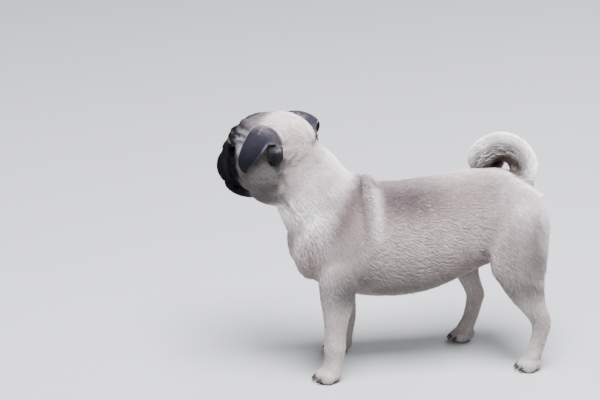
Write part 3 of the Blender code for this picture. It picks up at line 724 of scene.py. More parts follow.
class Skin:
    """The points and normals of the skin, for pressing folds into it and for reading its regions."""

    def __init__(self, obj):
        self.mesh = obj.data
        self.points = self.read("co")
        self.normals = self.read("normal")
        self.crease = np.zeros(len(self.points))
        self.find_surface()

    def read(self, name):
        values = np.empty(len(self.mesh.vertices) * 3)
        self.mesh.vertices.foreach_get(name, values)
        return values.reshape(-1, 3)

    def find_surface(self):
        faces = [tuple(face.vertices) for face in self.mesh.polygons]
        self.tree = BVHTree.FromPolygons(self.points.tolist(), faces)

    def ease(self, share, rounds):
        """Smooths the points by their neighbours, each by its own share."""
        share = np.where(share > 0.01, share, 0)
        ends = np.empty(len(self.mesh.edges) * 2, np.int32)
        self.mesh.edges.foreach_get("vertices", ends)
        ends = ends.reshape(-1, 2)
        ends = ends[(share[ends] > 0).any(1)]
        count = len(self.points)
        first, second = ends.T
        neighbours = np.maximum(np.bincount(ends.ravel(), minlength=count), 1)
        for _ in range(rounds):
            for k in range(3):
                line = self.points[:, k]
                total = np.bincount(first, line[second], count) + np.bincount(second, line[first], count)
                self.points[:, k] += (total / neighbours - line) * share * EASING_STEP
        self.write()
        self.find_surface()

    def fold(self, path, depth, width, roll=0, place=None, ending=6):
        """Presses a groove along a path laid on the skin, and throws up a roll on both its sides."""
        place = place or Matrix.Identity(4)
        laid = []
        facing = []
        for point in smooth_stations(path, FOLD_STEPS):
            on_skin, normal, _, _ = self.tree.find_nearest(place @ Vector(point))
            laid.append(on_skin)
            facing.append(normal)
        laid, facing = np.array(laid), np.array(facing)
        reach = width * 4 + 2
        low, high = laid.min(0) - reach, laid.max(0) + reach
        near = np.flatnonzero(((self.points > low) & (self.points < high)).all(1))
        apart = np.linalg.norm(self.points[near][:, None] - laid[None], axis=2)
        nearest = apart.argmin(1)
        apart = apart.min(1)
        along = nearest / (len(laid) - 1)
        fade = np.clip(np.minimum(along, 1 - along) * ending + FOLD_END, 0, 1)
        fade[(self.normals[near] * facing[nearest]).sum(1) < 0.1] = 0
        groove = bell(apart, 0, width)
        push = roll * bell(apart, ROLL_AT * width, width) - depth * groove
        self.points[near] += self.normals[near] * (push * fade)[:, None]
        if depth > 0:
            self.crease[near] = np.maximum(self.crease[near], groove * fade * min(1, depth / 2))

    def sink(self, depth):
        """Draws the skin in by the coat's depth at each point, and sets the soles on the floor."""
        self.points -= self.normals * depth[:, None]
        self.points[:, 2] = np.maximum(self.points[:, 2], 0)

    def write(self):
        """Puts the points back into the mesh, and reads the normals that they give."""
        self.mesh.vertices.foreach_set("co", self.points.ravel())
        self.mesh.update()
        self.normals = self.read("normal")


def beyond(points, cut):
    """How far points lie beyond a plane."""
    return (points - np.array(cut[0])) @ (np.array(cut[1]) / np.linalg.norm(cut[1]))


def on_head_axes(points):
    """Points of the dog's frame as forward, left and up on the head."""
    return (points - np.array(HEAD_AT)) @ np.array(head_matrix().to_3x3())


def ease_nape(skin):
    """Blends the back of the head into the neck."""
    up = on_head_axes(skin.points)[:, 2]
    skin.ease(bell(beyond(skin.points, HEAD_CUT), 0, NAPE_REACH) * rise(up, *NAPE_HEIGHTS), NAPE_ROUNDS)


def press_folds(skin):
    """Every fold of the head and body."""
    place = head_matrix()
    for path, depth, width, roll in HEAD_FOLDS.values():
        for side in (-1, 1):
            skin.fold(mirrored(path, side), depth, width, roll, place)
    for path, depth, width, roll in MIDDLE_FOLDS.values():
        skin.fold(path, depth, width, roll, place)
    for path, depth, width, roll in SADDLE_FOLDS.values():
        skin.fold(mirrored(path, -1)[:0:-1] + list(path), depth, width, roll, ending=1.9)
    for path, depth, width, roll in SIDE_FOLDS.values():
        for side in (-1, 1):
            skin.fold(mirrored(path, side), depth, width, roll)


class Regions:
    """How much each point of the skin belongs to each region of the dog, and where it lies there."""

    def __init__(self, skin):
        self.points, self.normals, self.crease = skin.points, skin.normals, skin.crease
        self.x, self.y, self.z = self.points.T
        self.on_head = on_head_axes(self.points)
        self.head = rise(beyond(self.points, HEAD_CUT), *HEAD_BLEND)
        self.neck = rise(beyond(self.points, NECK_CUT), *NECK_BLEND) * (1 - self.head)
        self.leg = fall(self.z, 66, 104)
        self.chest = rise(-self.x, 58, 82) * fall(self.z, 136, 172)
        self.front = rise(-self.x, 36, 74) * fall(self.z, 118, 168)
        self.breeches = rise(self.x, 128, 150) * rise(self.z, 96, 112) * fall(self.z, 150, 172)
        self.read_tail()
        self.read_ears()

    def read_tail(self):
        """Where each point lies along the tail, and the tail's own direction there."""
        rows = smooth_stations(TAIL, 6)
        near = np.flatnonzero((self.x > TAIL_CORNER[0]) & (self.z > TAIL_CORNER[1]))
        apart = np.linalg.norm(self.points[near][:, None] - rows[None, :, :3], axis=2)
        nearest = apart.argmin(1)
        radius = rows[nearest, 3]
        inside = fall(apart.min(1), radius + TAIL_SKIN[0], radius + TAIL_SKIN[1])
        count = len(self.points)
        self.tail, self.tail_along = np.zeros((2, count))
        self.tail_way = np.zeros((count, 3))
        self.tail[near] = inside * rise(self.z[near], *TAIL_ROOT_LEVELS)
        self.tail_along[near] = nearest / (len(rows) - 1)
        tangents = np.gradient(rows[:, :3], axis=0)
        tangents /= np.linalg.norm(tangents, axis=1)[:, None]
        self.tail_way[near] = tangents[nearest]

    def read_ears(self):
        """Where each point lies along an ear, which face it is on, and the way to the ear's tip."""
        count = len(self.points)
        self.ear, self.ear_along, self.ear_outer, self.ear_edge, self.lobe = np.zeros((5, count))
        self.ear_way = np.zeros((count, 3))
        for side, flap_rows, is_lobe in ear_flaps():
            grid = ear_grid(side, flap_rows, 9, 4)
            laid = np.array([row_points for row_points, _ in grid])
            outward = np.array([out for _, out in grid])
            way = np.gradient(laid, axis=0)
            way /= np.linalg.norm(way, axis=2)[:, :, None] + 1e-9
            flat = laid.reshape(-1, 3)
            inside = (self.points > flat.min(0) - EAR_REACH[1]) & (self.points < flat.max(0) + EAR_REACH[1])
            near = np.flatnonzero(inside.all(1))
            points = self.points[near]
            apart = np.linalg.norm(points[:, None] - flat[None], axis=2)
            nearest = apart.argmin(1)
            row, column = np.divmod(nearest, laid.shape[1])
            height = np.abs(((points - flat[nearest]) * outward[row]).sum(1))
            along = row / (len(grid) - 1)
            belongs = fall(height, *EAR_SKIN) * fall(apart.min(1), *EAR_REACH)
            if not is_lobe:
                belongs *= rise(along, *EAR_ROOT)
            better = belongs > self.ear[near]
            chosen = near[better]
            self.lobe[chosen] = is_lobe
            self.ear[chosen] = belongs[better]
            self.ear_along[chosen] = along[better]
            self.ear_outer[chosen] = rise((self.normals[near] * outward[row]).sum(1)[better], -0.3, 0.3)
            self.ear_edge[chosen] = np.abs(column[better] / (laid.shape[1] - 1) * 2 - 1)
            self.ear_way[chosen] = way[row[better], column[better]]


def mix(first, second, share):
    """From the first values to the second by a share."""
    return first * (1 - share) + second * share


def blend(first, second, share):
    """From the first colours or directions to the second by a share for each point."""
    return mix(first, np.array(second), share[:, None])


def plain(values, count):
    """The same colour or direction for every point."""
    return np.tile(np.array(values), (count, 1))


def wander(points, scale, seed):
    """A smooth irregular field between about -1 and 1, from a few waves in fixed random directions."""
    draw = np.random.default_rng(seed)
    field = np.zeros(len(points))
    for _ in range(7):
        way = draw.normal(size=3)
        way *= draw.uniform(0.6, 1.5) / (np.linalg.norm(way) * scale)
        field += np.sin(points @ way * 2 * math.pi + draw.uniform(0, 2 * math.pi))
    return field / 3.2


def box_distance(values, centre, radii, power=4):
    """Below 1 inside a rounded box and above 1 outside it."""
    return (np.abs((values - np.array(centre)) / np.array(radii)) ** power).sum(1)


# Markings, with painted shade and painted highlights among them. A share is bounded by places in millimetres,
# and the number beside it is how strongly it covers.

def trunk_colours(colour, regions, look):
    """A dark grey brown trace behind the withers, a white rump, pale legs and belly, and painted shade on the
    lower flanks, the chest, the underside and the haunch.
    """
    x, z = regions.x, regions.z
    back = rise(z, 150, 182) * rise(x, -18, -6) * fall(x, 16, 74)
    colour = blend(colour, look.trace_and_fold_shade, back * 0.9)
    rump = np.maximum(rise(z, 132, 176), rise(x, 134, 152) * rise(z, 80, 110)) * rise(x, 92, 136)
    colour = blend(colour, look.white, rump * 0.7)
    belly = fall(z, 84, 118)
    colour = blend(colour, look.pale, belly * 0.6)
    # Painted shade: the lower flanks darker, as under a light from above.
    flank = fall(z, 100, 146) * rise(np.abs(regions.y), 8, 30)
    colour = blend(colour, look.shade, flank * 0.4)
    colour = blend(colour, look.pale, regions.leg * 0.6)
    # Painted shade on the chest, in tan.
    colour = blend(colour, look.tan, regions.chest * 0.6)
    # Painted shade under the belly, with a wavering edge.
    underside = fall(z + 4 * wander(regions.points, 30, 21), 80, 106)
    colour = blend(colour, look.shade, underside * (1 - 0.95 * regions.leg) * 0.85)
    # Painted shade on the lower haunch.
    haunch = rise(x, 84, 112) * rise(z, 100, 122) * fall(z, 140, 168)
    colour = blend(colour, look.shade, haunch * 0.25)
    return blend(colour, look.pale, regions.front * 0.35 * (1 - regions.leg))


def neck_colours(colour, regions, look):
    """White round the neck and over the nape, and painted shade in tan down the chest, strongest where it faces
    forward.
    """
    x, z = regions.x, regions.z
    neck = np.clip(regions.neck + regions.front * 0.2, 0, 1) * (1 - 0.75 * regions.chest)
    throat = rise(-(x * 0.62 + z * 0.78), -110, -84)
    colour = blend(colour, look.white, neck * (0.35 + 0.5 * throat))
    nape = regions.neck * rise(x * 0.6 + z, 132, 168)
    colour = blend(colour, look.white, nape * 0.75)
    # Painted shade on the chest where it faces forward, away from the light.
    return blend(colour, look.tan, regions.chest * 0.6 * rise(-regions.normals[:, 0], -0.3, 0.7))


def shoulder_colours(colour, regions, look):
    """The tan band down the shoulder, painted shade in the valley behind the withers with a painted highlight on
    the ridge beside it, and painted shade at the elbow.
    """
    x, z, aside = regions.x, regions.z, np.abs(regions.y)
    start, end = np.array(SHOULDER_BAND)
    line = end - start
    along = ((x - start[0]) * line[0] + (z - start[1]) * line[1]) / (line @ line)
    off = ((x - start[0]) * line[1] - (z - start[1]) * line[0]) / np.linalg.norm(line)
    band = bell(off, 0, 11) * fall(along, 0.55, 1.15) * rise(along, -0.3, 0.1)
    colour = blend(colour, look.tan, band * 0.95 * (1 - regions.head))
    # Painted shade in the groove of the fold behind the withers.
    valley = bell(x, -29, 4.5) * rise(z, 132, 170)
    colour = blend(colour, look.trace_and_fold_shade, valley * 0.6 * (1 - regions.head))
    # A painted highlight along the crest of the ridge behind the withers.
    ridge = bell(x, -17, 5) * rise(z, 128, 170) * rise(aside, 8, 24)
    colour = blend(colour, look.white, ridge * 0.7)
    # Painted shade at the elbow, where the leg meets the body.
    elbow = bell(x, -50, 20) * bell(z, 98, 15) * rise(aside, 26, 40)
    return blend(colour, look.shade, elbow * 0.7)


def mask_share(regions):
    """How black the fur of the face is: the muzzle, the roll over the nose, the lids and the wrinkles."""
    on_head = regions.on_head
    ragged = wander(on_head, 9, 3) * 0.12 + wander(on_head, 3.5, 4) * 0.06
    muzzle = fall(box_distance(on_head, (47, 0, -24), (32, 60, 31)) + ragged, 0.65, 1.25)
    roll = fall(box_distance(on_head, (46, 0, 4), (15, 24, 10), 2) + ragged, 0.8, 1.5)
    wrinkles = regions.crease * rise(on_head[:, 0], 2, 16)
    shares = [muzzle, roll * 0.95, wrinkles * 0.75]
    for side in (-1, 1):
        lids = radii_away(on_head, to_side(EYE_AT, side)) + ragged * 4
        corner = radii_away(on_head, (17, 36 * side, 10), (7, 8, 2.5))
        mole = radii_away(on_head, (17.7, 28 * side, -36.7))
        shares.append(fall(lids, EYE_RADIUS + 0.8, EYE_RADIUS + 2.8))
        shares.append(fall(corner, 0.6, 1.5) * 0.5)
        shares.append(fall(mole, 1.4, 2.8) * 0.8)
    return np.maximum.reduce(shares) * regions.head


def head_colours(colour, regions, look):
    """Fawn over the skull, painted shade on the cheek and under the throat, dark wrinkles, light beside the eye,
    and the black mask.
    """
    ahead, side, up = regions.on_head.T
    head, aside = regions.head, np.abs(side)
    colour = blend(colour, look.fawn, head)
    crown = rise(up, 14, 34) * fall(ahead, -4, 12)
    colour = blend(colour, look.cream, head * crown * 0.55)
    # Painted shade on the cheek below the ear.
    cheek = rise(aside, 12, 30) * fall(up, -6, 10) * rise(ahead, -33, -24)
    colour = blend(colour, look.shade, head * cheek * 0.93)
    forehead = rise(ahead, -8, 10) * rise(up, 2, 14)
    streaks = 0.5 + 0.5 * np.clip(wander(regions.on_head * np.array((0.5, 1.4, 0.5)), 3.2, 8), -1, 1)
    dark = np.clip(0.62 + 0.25 * rise(ahead, 10, 24) + 0.25 * streaks, 0, 1)
    colour = blend(colour, look.wrinkle, head * forehead * dark)
    patch = bell(ahead, 20, 9) * bell(aside, 37, 10) * bell(up, 9, 10)
    colour = blend(colour, look.patch, head * patch * 0.9)
    # Painted shade under the jaw and down the throat.
    throat = fall(up, -44, -30)
    colour = blend(colour, look.shade, head * throat * 0.85)
    return blend(colour, look.mask, mask_share(regions))


def ear_colours(colour, regions, look):
    """Fur-coloured at the root, and black velvet from the fold to the tip, with a pale front rim."""
    count = len(colour)
    along = regions.ear_along + wander(regions.points, 4, 9) * 0.03
    behind = -regions.on_head[:, 0]
    turned_back = (regions.on_head[:, 1] < 0) * rise(behind, 6, 20)
    dark = np.maximum(rise(along, 0.22, 0.42), turned_back * 0.93)
    root = rise(along, -0.02, 0.14) * (0.55 + 0.4 * rise(behind, 13, 21))
    velvet = blend(plain(look.ear, count), look.mask, rise(along, 0.45, 0.8) * 0.7)
    outer = blend(blend(colour, look.wrinkle, root), velvet, dark)
    inner = blend(plain(look.inner_ear, count), look.ear, rise(regions.ear_along, 0.4, 0.7))
    lobe = blend(plain(look.inner_ear, count), look.wrinkle, regions.ear_edge * 0.25)
    whole = blend(inner, blend(outer, lobe, regions.lobe), regions.ear_outer)
    rim = rise(regions.ear_edge, 0.87, 0.97) * (1 - regions.lobe)
    whole = blend(whole, look.rim, rim * (0.12 + 0.7 * fall(regions.ear_along, 0.35, 0.75)))
    colour = blend(colour, whole, regions.ear)
    # Painted shade for the opening of each ear; above and behind it the fur is darker too.
    for side, lift in ((1, 0), (-1, RAISED_LOBE_LIFT)):
        hole = np.array(to_side(EAR_HOLE, side)) + (0, 0, lift)
        away = radii_away(regions.on_head, hole, (6, 9, 6))
        colour = blend(colour, look.ear, fall(away, 0.5, 1.3) * 0.9)
        above = radii_away(regions.on_head, hole + (-9, -2 * side, 8), (9, 11, 6.5))
        colour = blend(colour, look.wrinkle, fall(above, 0.6, 1.3) * 0.9)
    return colour


def tail_colours(colour, regions, look):
    """White cream outside, and brown painted shade on the side that faces into the curl and round its middle."""
    inward = np.array(TAIL_EYE) - regions.points
    inward[:, 1] = 0
    away = np.linalg.norm(inward, axis=1)
    inward /= away[:, None] + 1e-6
    # Painted shade: brown where the fur faces into the curl, and in the curl's middle.
    facing = rise((inward * regions.normals).sum(1), -0.05, 0.6)
    facing = np.maximum(facing, fall(away, 9, 27) * 0.85)
    whole = blend(plain(look.tail_outside, len(colour)), look.tail_curl_shade, facing)
    whole = blend(whole, look.cream, fall(regions.z, 180, 200) * 0.6)
    return blend(colour, whole, regions.tail)


def coat_colours(regions, look):
    """The colour of the fur at each point of the skin: every marking, painted shade and painted highlight in
    turn, a little mottled, with painted shade in the folds of the body.
    """
    colour = plain(look.fawn, len(regions.points))
    for lay in (trunk_colours, neck_colours, shoulder_colours, head_colours, ear_colours, tail_colours):
        colour = lay(colour, regions, look)
    paws = fall(regions.z, 8, 26)
    colour = blend(colour, look.pale, paws * 0.5)
    mottle = 1 + 0.06 * wander(regions.points, 14, 5) + 0.05 * wander(regions.points, 5, 6)
    # Painted shade in the grooves of the body's folds.
    fold_shade = 1 - 0.5 * regions.crease * (1 - regions.head)
    return np.clip(colour * mottle[:, None], 0, 1) * fold_shade[:, None]


def unit(vectors):
    return vectors / (np.linalg.norm(vectors, axis=1)[:, None] + 1e-9)


def lie_of_coat(regions):
    """The direction in which the fur lies at each point, in the dog's frame."""
    x, z = regions.x, regions.z
    from_nose = unit(regions.on_head - np.array((58, 0, -2)))
    from_nose[:, 2] -= 0.25 * rise(-regions.on_head[:, 2], 0, 20)
    on_face = from_nose @ np.array(head_matrix().to_3x3()).T
    # Back, shoulder, chest, haunch, leg, toes, neck, face, ears and tail, each laid over those before it.
    ways = (
        ((1.0, 0, -0.05), rise(z, 165, 186)),
        ((0.5, 0, -0.86), rise(-x, 14, 52) * fall(z, 168, 186)),
        ((0.12, 0, -1), rise(-x, 58, 84) * fall(z, 150, 172)),
        ((0.42, 0, -0.9), rise(x, 92, 128) * fall(z, 172, 190)),
        ((0.1, 0, -1), fall(z, 72, 112)),
        ((-0.75, 0, -0.6), fall(z, 10, 24)),
        ((0.66, 0, -0.75), regions.neck),
        (on_face, regions.head),
        (regions.ear_way, regions.ear),
        (regions.tail_way, regions.tail),
    )
    lie = plain((1.0, 0, -0.32), len(x))
    for way, share in ways:
        lie = blend(lie, way, share)
    sway = np.stack([wander(regions.points, 26, seed) for seed in (11, 12, 13)], axis=1)
    return unit(unit(lie) + sway * 0.13)


def coat_length(regions, look):
    """How long the fur is at each point, in millimetres."""
    x, z = regions.x, regions.z
    length = np.full(len(x), look.body_length)
    length *= 1 + 0.2 * fall(z, 90, 120) * rise(x, -40, -10)
    length *= 1 - 0.42 * fall(z, 60, 100)
    length *= 1 + 0.3 * regions.breeches
    length *= 1 - 0.5 * rise(x, 138, 150) * rise(z, 148, 158)
    length *= 1 - 0.45 * fall(z, 14, 34)
    face = rise(regions.on_head[:, 0], -34, 14)
    on_head = look.body_length * (1 - face) * 0.85 + look.face_length * face
    length = mix(length, on_head, regions.head)
    length = mix(length, look.face_length * 0.85, regions.ear)
    length = length * (1 - 0.5 * regions.crease * (1 - regions.head))
    tail = look.tail_length * (0.75 + 0.25 * rise(regions.tail_along, 0.2, 0.5))
    return mix(length, tail, regions.tail)


def coat_lift(regions):
    """How steeply the fur stands from the skin, as a share of its length."""
    lift = 0.1 + 0.08 * regions.breeches + 0.05 * regions.neck
    return mix(lift, 0.34, regions.tail) * (1 - 0.4 * regions.head)


def coat_closeness(regions, length, look):
    """How close the tufts stand: closer where they are short, none on the soles and under other pieces."""
    closeness = (look.body_length / length) ** 0.7 * rise(regions.z, 0.8, 4)
    bare = rise(box_distance(regions.on_head, (51, 0, -3.5), (8, 11.5, 8.5), 2), 0.8, 1.1)
    for side in (-1, 1):
        away = radii_away(regions.on_head, to_side(EYE_AT, side))
        bare *= rise(away, EYE_RADIUS + 0.4, EYE_RADIUS + 1.2)
    inner_ear = regions.ear * (1 - regions.ear_outer)
    return closeness * (bare * (1 - 0.6 * inner_ear))


def coat_part(regions):
    """The number of the stretch of coat that each point belongs to."""
    part = np.zeros(len(regions.x), np.int32)

    def number(name, belongs, on_left):
        left, right = COAT_NUMBERS[name + "_left"], COAT_NUMBERS[name + "_right"]
        part[belongs] = np.where(on_left[belongs], left, right)

    left_side = regions.y < 0
    number("coat_flank", part == 0, left_side)
    number("coat_haunch", (regions.x > 84) & (regions.z < 172), left_side)
    number("coat_foreleg", (regions.x < -20) & (regions.z < 118), left_side)
    part[regions.neck > 0.5] = COAT_NUMBERS["coat_neck"]
    number("coat_head", regions.head > 0.5, regions.on_head[:, 1] > HEAD_PARTING)
    part[regions.tail > 0.3] = COAT_NUMBERS["coat_tail"]
    return part


def depth_share(regions):
    """How far the skin lies inside the coat: less on the head and the ears, and more on the tail."""
    shorter = regions.head * (0.3 + 0.35 * rise(regions.on_head[:, 0], -20, 10)) + 0.5 * regions.ear
    return np.maximum(1 - shorter + 0.6 * regions.tail, 0.2)


def write_attribute(mesh, name, kind, values):
    """Keeps one value for each point of a mesh under a name."""
    attribute = mesh.attributes.new(name, kind, "POINT")
    field = {"FLOAT": "value", "INT": "value", "FLOAT_VECTOR": "vector", "FLOAT_COLOR": "color"}[kind]
    flat = np.ascontiguousarray(values, np.int32 if kind == "INT" else np.float32).ravel()
    attribute.data.foreach_set(field, flat)


def unwrap(obj):
    """Lays the skin out flat by its own shape, on the map that the tufts take their places from."""
    bpy.ops.object.select_all(action="DESELECT")
    obj.select_set(True)
    bpy.context.view_layer.objects.active = obj
    obj.data.uv_layers.new(name="hide")
    bpy.ops.object.mode_set(mode="EDIT")
    bpy.ops.mesh.select_all(action="SELECT")
    bpy.ops.uv.smart_project(angle_limit=math.radians(70), island_margin=0.002)
    bpy.ops.object.mode_set(mode="OBJECT")


# Node trees

def add_node(tree, kind, inputs=None, **settings):
    """Adds a node with its settings, and joins or sets the inputs that are given by name or number."""
    made = tree.nodes.new(kind)
    for name, value in settings.items():
        setattr(made, name, value)
    for key, value in (inputs or {}).items():
        socket = made.inputs[key]
        if isinstance(value, bpy.types.NodeSocket):
            tree.links.new(value, socket)
        else:
            socket.default_value = value
    return made


def named(tree, name, kind="FLOAT"):
    """Reads an attribute of the geometry by its name."""
    made = add_node(tree, "GeometryNodeInputNamedAttribute", {"Name": name}, data_type=kind)
    return made.outputs["Attribute"]


def maths(tree, operation, first, second):
    return add_node(tree, "ShaderNodeMath", {0: first, 1: second}, operation=operation).outputs[0]


def scaled(tree, vector, scale):
    made = add_node(tree, "ShaderNodeVectorMath", {0: vector, "Scale": scale}, operation="SCALE")
    return made.outputs["Vector"]


def finished(tree, last, given, out):
    """Gives the material to what the last node makes, and hands it out."""
    made = add_node(
        tree, "GeometryNodeSetMaterial",
        {"Geometry": last.outputs["Geometry"], "Material": given["Material"]},
    )
    tree.links.new(made.outputs["Geometry"], out.inputs["Geometry"])
    return tree


def new_tree(name, inputs):
    """A tree for a modifier, with a geometry going in and out and named inputs for its sizes."""
    tree = bpy.data.node_groups.new(name, "GeometryNodeTree")
    tree.interface.new_socket("Geometry", in_out="INPUT", socket_type="NodeSocketGeometry")
    tree.interface.new_socket("Geometry", in_out="OUTPUT", socket_type="NodeSocketGeometry")
    for label, kind in inputs.items():
        tree.interface.new_socket(label, in_out="INPUT", socket_type="NodeSocket" + kind)
    return tree, tree.nodes.new("NodeGroupInput").outputs, tree.nodes.new("NodeGroupOutput")


def coat_tree():
    """Scatters tufts over one part of the skin, each turned to the lie of the coat there."""
    kinds = {
        "Tuft": "Object", "Material": "Material", "Part": "Int", "Seed": "Int",
        "Tufts per square metre": "Float", "Width": "Float", "Disorder": "Float", "Patch": "Float",
    }
    tree, given, out = new_tree("coat", kinds)
    here = add_node(
        tree, "FunctionNodeCompare", {2: named(tree, "part", "INT"), 3: given["Part"]},
        data_type="INT", operation="EQUAL",
    )
    density = maths(tree, "MULTIPLY", named(tree, "closeness"), given["Tufts per square metre"])
    spread = add_node(
        tree, "GeometryNodeDistributePointsOnFaces",
        {"Mesh": given["Geometry"], "Selection": here.outputs[0], "Density": density, "Seed": given["Seed"]},
    )
    tone = add_node(tree, "FunctionNodeRandomValue", {"Seed": given["Seed"]}, data_type="FLOAT")
    points = add_node(
        tree, "GeometryNodeStoreNamedAttribute",
        {"Geometry": spread.outputs["Points"], "Name": "tone", "Value": tone.outputs["Value"]},
        data_type="FLOAT", domain="POINT",
    )
    facing = add_node(
        tree, "FunctionNodeAxesToRotation",
        {"Primary Axis": spread.outputs["Normal"], "Secondary Axis": named(tree, "lie", "FLOAT_VECTOR")},
        primary_axis="Z", secondary_axis="Y",
    )
    stray = add_node(
        tree, "FunctionNodeRandomValue",
        {"Min": (-0.5, -1, -1), "Max": (1, 1, 1), "Seed": given["Seed"]}, data_type="FLOAT_VECTOR",
    )
    bend = scaled(tree, stray.outputs["Value"], given["Disorder"])
    as_turn = add_node(tree, "FunctionNodeEulerToRotation", {"Euler": bend})
    turned = add_node(
        tree, "FunctionNodeRotateRotation",
        {"Rotation": facing.outputs["Rotation"], "Rotate By": as_turn.outputs["Rotation"]},
        rotation_space="LOCAL",
    )
    varied = add_node(
        tree, "FunctionNodeRandomValue", {2: 0.7, 3: 1.3, "Seed": given["Seed"]}, data_type="FLOAT"
    )
    length = maths(tree, "MULTIPLY", named(tree, "length"), varied.outputs["Value"])
    height = maths(tree, "MULTIPLY", length, named(tree, "lift"))
    scale = add_node(tree, "ShaderNodeCombineXYZ", {"X": given["Width"], "Y": length, "Z": height})
    tuft = add_node(tree, "GeometryNodeObjectInfo", {"Object": given["Tuft"]})
    set_on = add_node(
        tree, "GeometryNodeInstanceOnPoints",
        {"Points": points.outputs["Geometry"], "Instance": tuft.outputs["Geometry"],
         "Rotation": turned.outputs["Rotation"], "Scale": scale.outputs["Vector"]},
    )
    real = add_node(tree, "GeometryNodeRealizeInstances", {"Geometry": set_on.outputs["Instances"]})
    on_patch = scaled(tree, named(tree, "on_tuft", "FLOAT_VECTOR"), given["Patch"])
    on_map = add_node(
        tree, "ShaderNodeVectorMath", {0: named(tree, "hide", "FLOAT_VECTOR"), 1: on_patch}, operation="ADD"
    )
    mapped = add_node(
        tree, "GeometryNodeStoreNamedAttribute",
        {"Geometry": real.outputs["Geometry"], "Name": "OFBake", "Value": on_map.outputs["Vector"]},
        data_type="FLOAT2", domain="CORNER",
    )
    return finished(tree, mapped, given, out)


def tuft():
    """One tuft a unit long: a spindle from its root, widest at a third, that bends over towards its tip."""
    places = {
        "root": (0, 0, -0.4), "left": (-0.5, 0.36, 0.5), "right": (0.5, 0.36, 0.5),
        "crest": (0, 0.4, 1.15), "tip": (0, 1, 1.0),
    }
    faces = (
        ("root", "right", "left"), ("root", "left", "crest"), ("root", "crest", "right"),
        ("tip", "left", "right"), ("tip", "crest", "left"), ("tip", "right", "crest"),
    )
    mesh = bpy.data.meshes.new("tuft")
    order = list(places)
    mesh.from_pydata(list(places.values()), [], [[order.index(k) for k in face] for face in faces])
    write_attribute(mesh, "on_tuft", "FLOAT_VECTOR", [(x, y - 0.5, 0) for x, y, _ in places.values()])
    write_attribute(mesh, "reach", "FLOAT", [y for _, y, _ in places.values()])
    return link("tuft", mesh)


def run_tree(obj, tree, values):
    """Runs a tree on an object with its inputs set, and leaves the plain mesh that it makes."""
    modifier = obj.modifiers.new("made", "NODES")
    modifier.node_group = tree
    for item in tree.interface.items_tree:
        if item.in_out == "INPUT" and item.name in values:
            modifier[item.identifier] = values[item.name]
    graph = bpy.context.evaluated_depsgraph_get()
    made = bpy.data.meshes.new_from_object(obj.evaluated_get(graph))
    obj.modifiers.clear()
    obj.data = made


# Materials

def new_material(name, roughness, shine=0.5):
    """A material with its shader, ready for a colour."""
    made = bpy.data.materials.new(name)
    made.use_nodes = True
    shader = made.node_tree.nodes["Principled BSDF"]
    shader.inputs["Roughness"].default_value = roughness
    shader.inputs["Specular IOR Level"].default_value = shine
    return made, made.node_tree, shader


def attribute_node(tree, name):
    return add_node(tree, "ShaderNodeAttribute", attribute_name=name)


def mixed_colour(tree, share, first, second, blend_type="MIX"):
    made = add_node(tree, "ShaderNodeMix", data_type="RGBA", blend_type=blend_type)
    for socket, value in zip((made.inputs[0], made.inputs[6], made.inputs[7]), (share, first, second)):
        if isinstance(value, bpy.types.NodeSocket):
            tree.links.new(value, socket)
        else:
            socket.default_value = value
    return made.outputs[2]


def ramp(tree, value, stops):
    """A colour ramp with its stops given as place and colour."""
    made = add_node(tree, "ShaderNodeValToRGB", {"Fac": value})
    elements = made.color_ramp.elements
    for k, (place, colour) in enumerate(stops):
        stop = elements[k] if k < 2 else elements.new(place)
        stop.position = place
        stop.color = (*colour, 1) if len(colour) == 3 else colour
    return made.outputs["Color"]


def grey_ramp(tree, value, stops):
    """A ramp of greys, its stops given as place and level."""
    return ramp(tree, value, [(place, (level, level, level)) for place, level in stops])


def multiplied(tree, first, second):
    return mixed_colour(tree, 1.0, first, second, "MULTIPLY")


def painted(tree, shader, colour):
    tree.links.new(colour, shader.inputs["Base Color"])


def bumped(tree, shader, height, strength, distance):
    bump = add_node(tree, "ShaderNodeBump", {"Height": height, "Strength": strength, "Distance": distance})
    tree.links.new(bump.outputs["Normal"], shader.inputs["Normal"])


def noise(tree, scale, detail=3, roughness=0.6):
    place = add_node(tree, "ShaderNodeTexCoord").outputs["Object"]
    return add_node(
        tree, "ShaderNodeTexNoise",
        {"Vector": place, "Scale": scale, "Detail": detail, "Roughness": roughness},
    ).outputs["Fac"]


def skin_material():
    """Short fur seen close to the skin: the markings, broken by a fine grain."""
    made, tree, shader = new_material("skin_fur", 0.85, 0.07)
    colour = attribute_node(tree, "fur").outputs["Color"]
    grain = noise(tree, 900)
    dark = ramp(tree, grain, ((0.3, (0.62, 0.6, 0.58)), (0.7, (1.0, 1.0, 1.0))))
    painted(tree, shader, multiplied(tree, colour, dark))
    bumped(tree, shader, grain, 0.7, 0.0004)
    return made


def coat_material():
    """A tuft of fur: the markings at its root, its own tone, and a paler tip."""
    made, tree, shader = new_material("coat_fur", 0.65, 0.07)
    colour = attribute_node(tree, "fur").outputs["Color"]
    tone = attribute_node(tree, "tone").outputs["Fac"]
    reach = attribute_node(tree, "reach").outputs["Fac"]
    own = ramp(tree, tone, ((0.0, (0.6, 0.58, 0.57)), (1.0, (1.16, 1.16, 1.16))))
    to_tip = ramp(tree, reach, ((0.0, (0.72, 0.69, 0.67)), (0.8, (1.08, 1.08, 1.08))))
    painted(tree, shader, multiplied(tree, multiplied(tree, colour, own), to_tip))
    return made


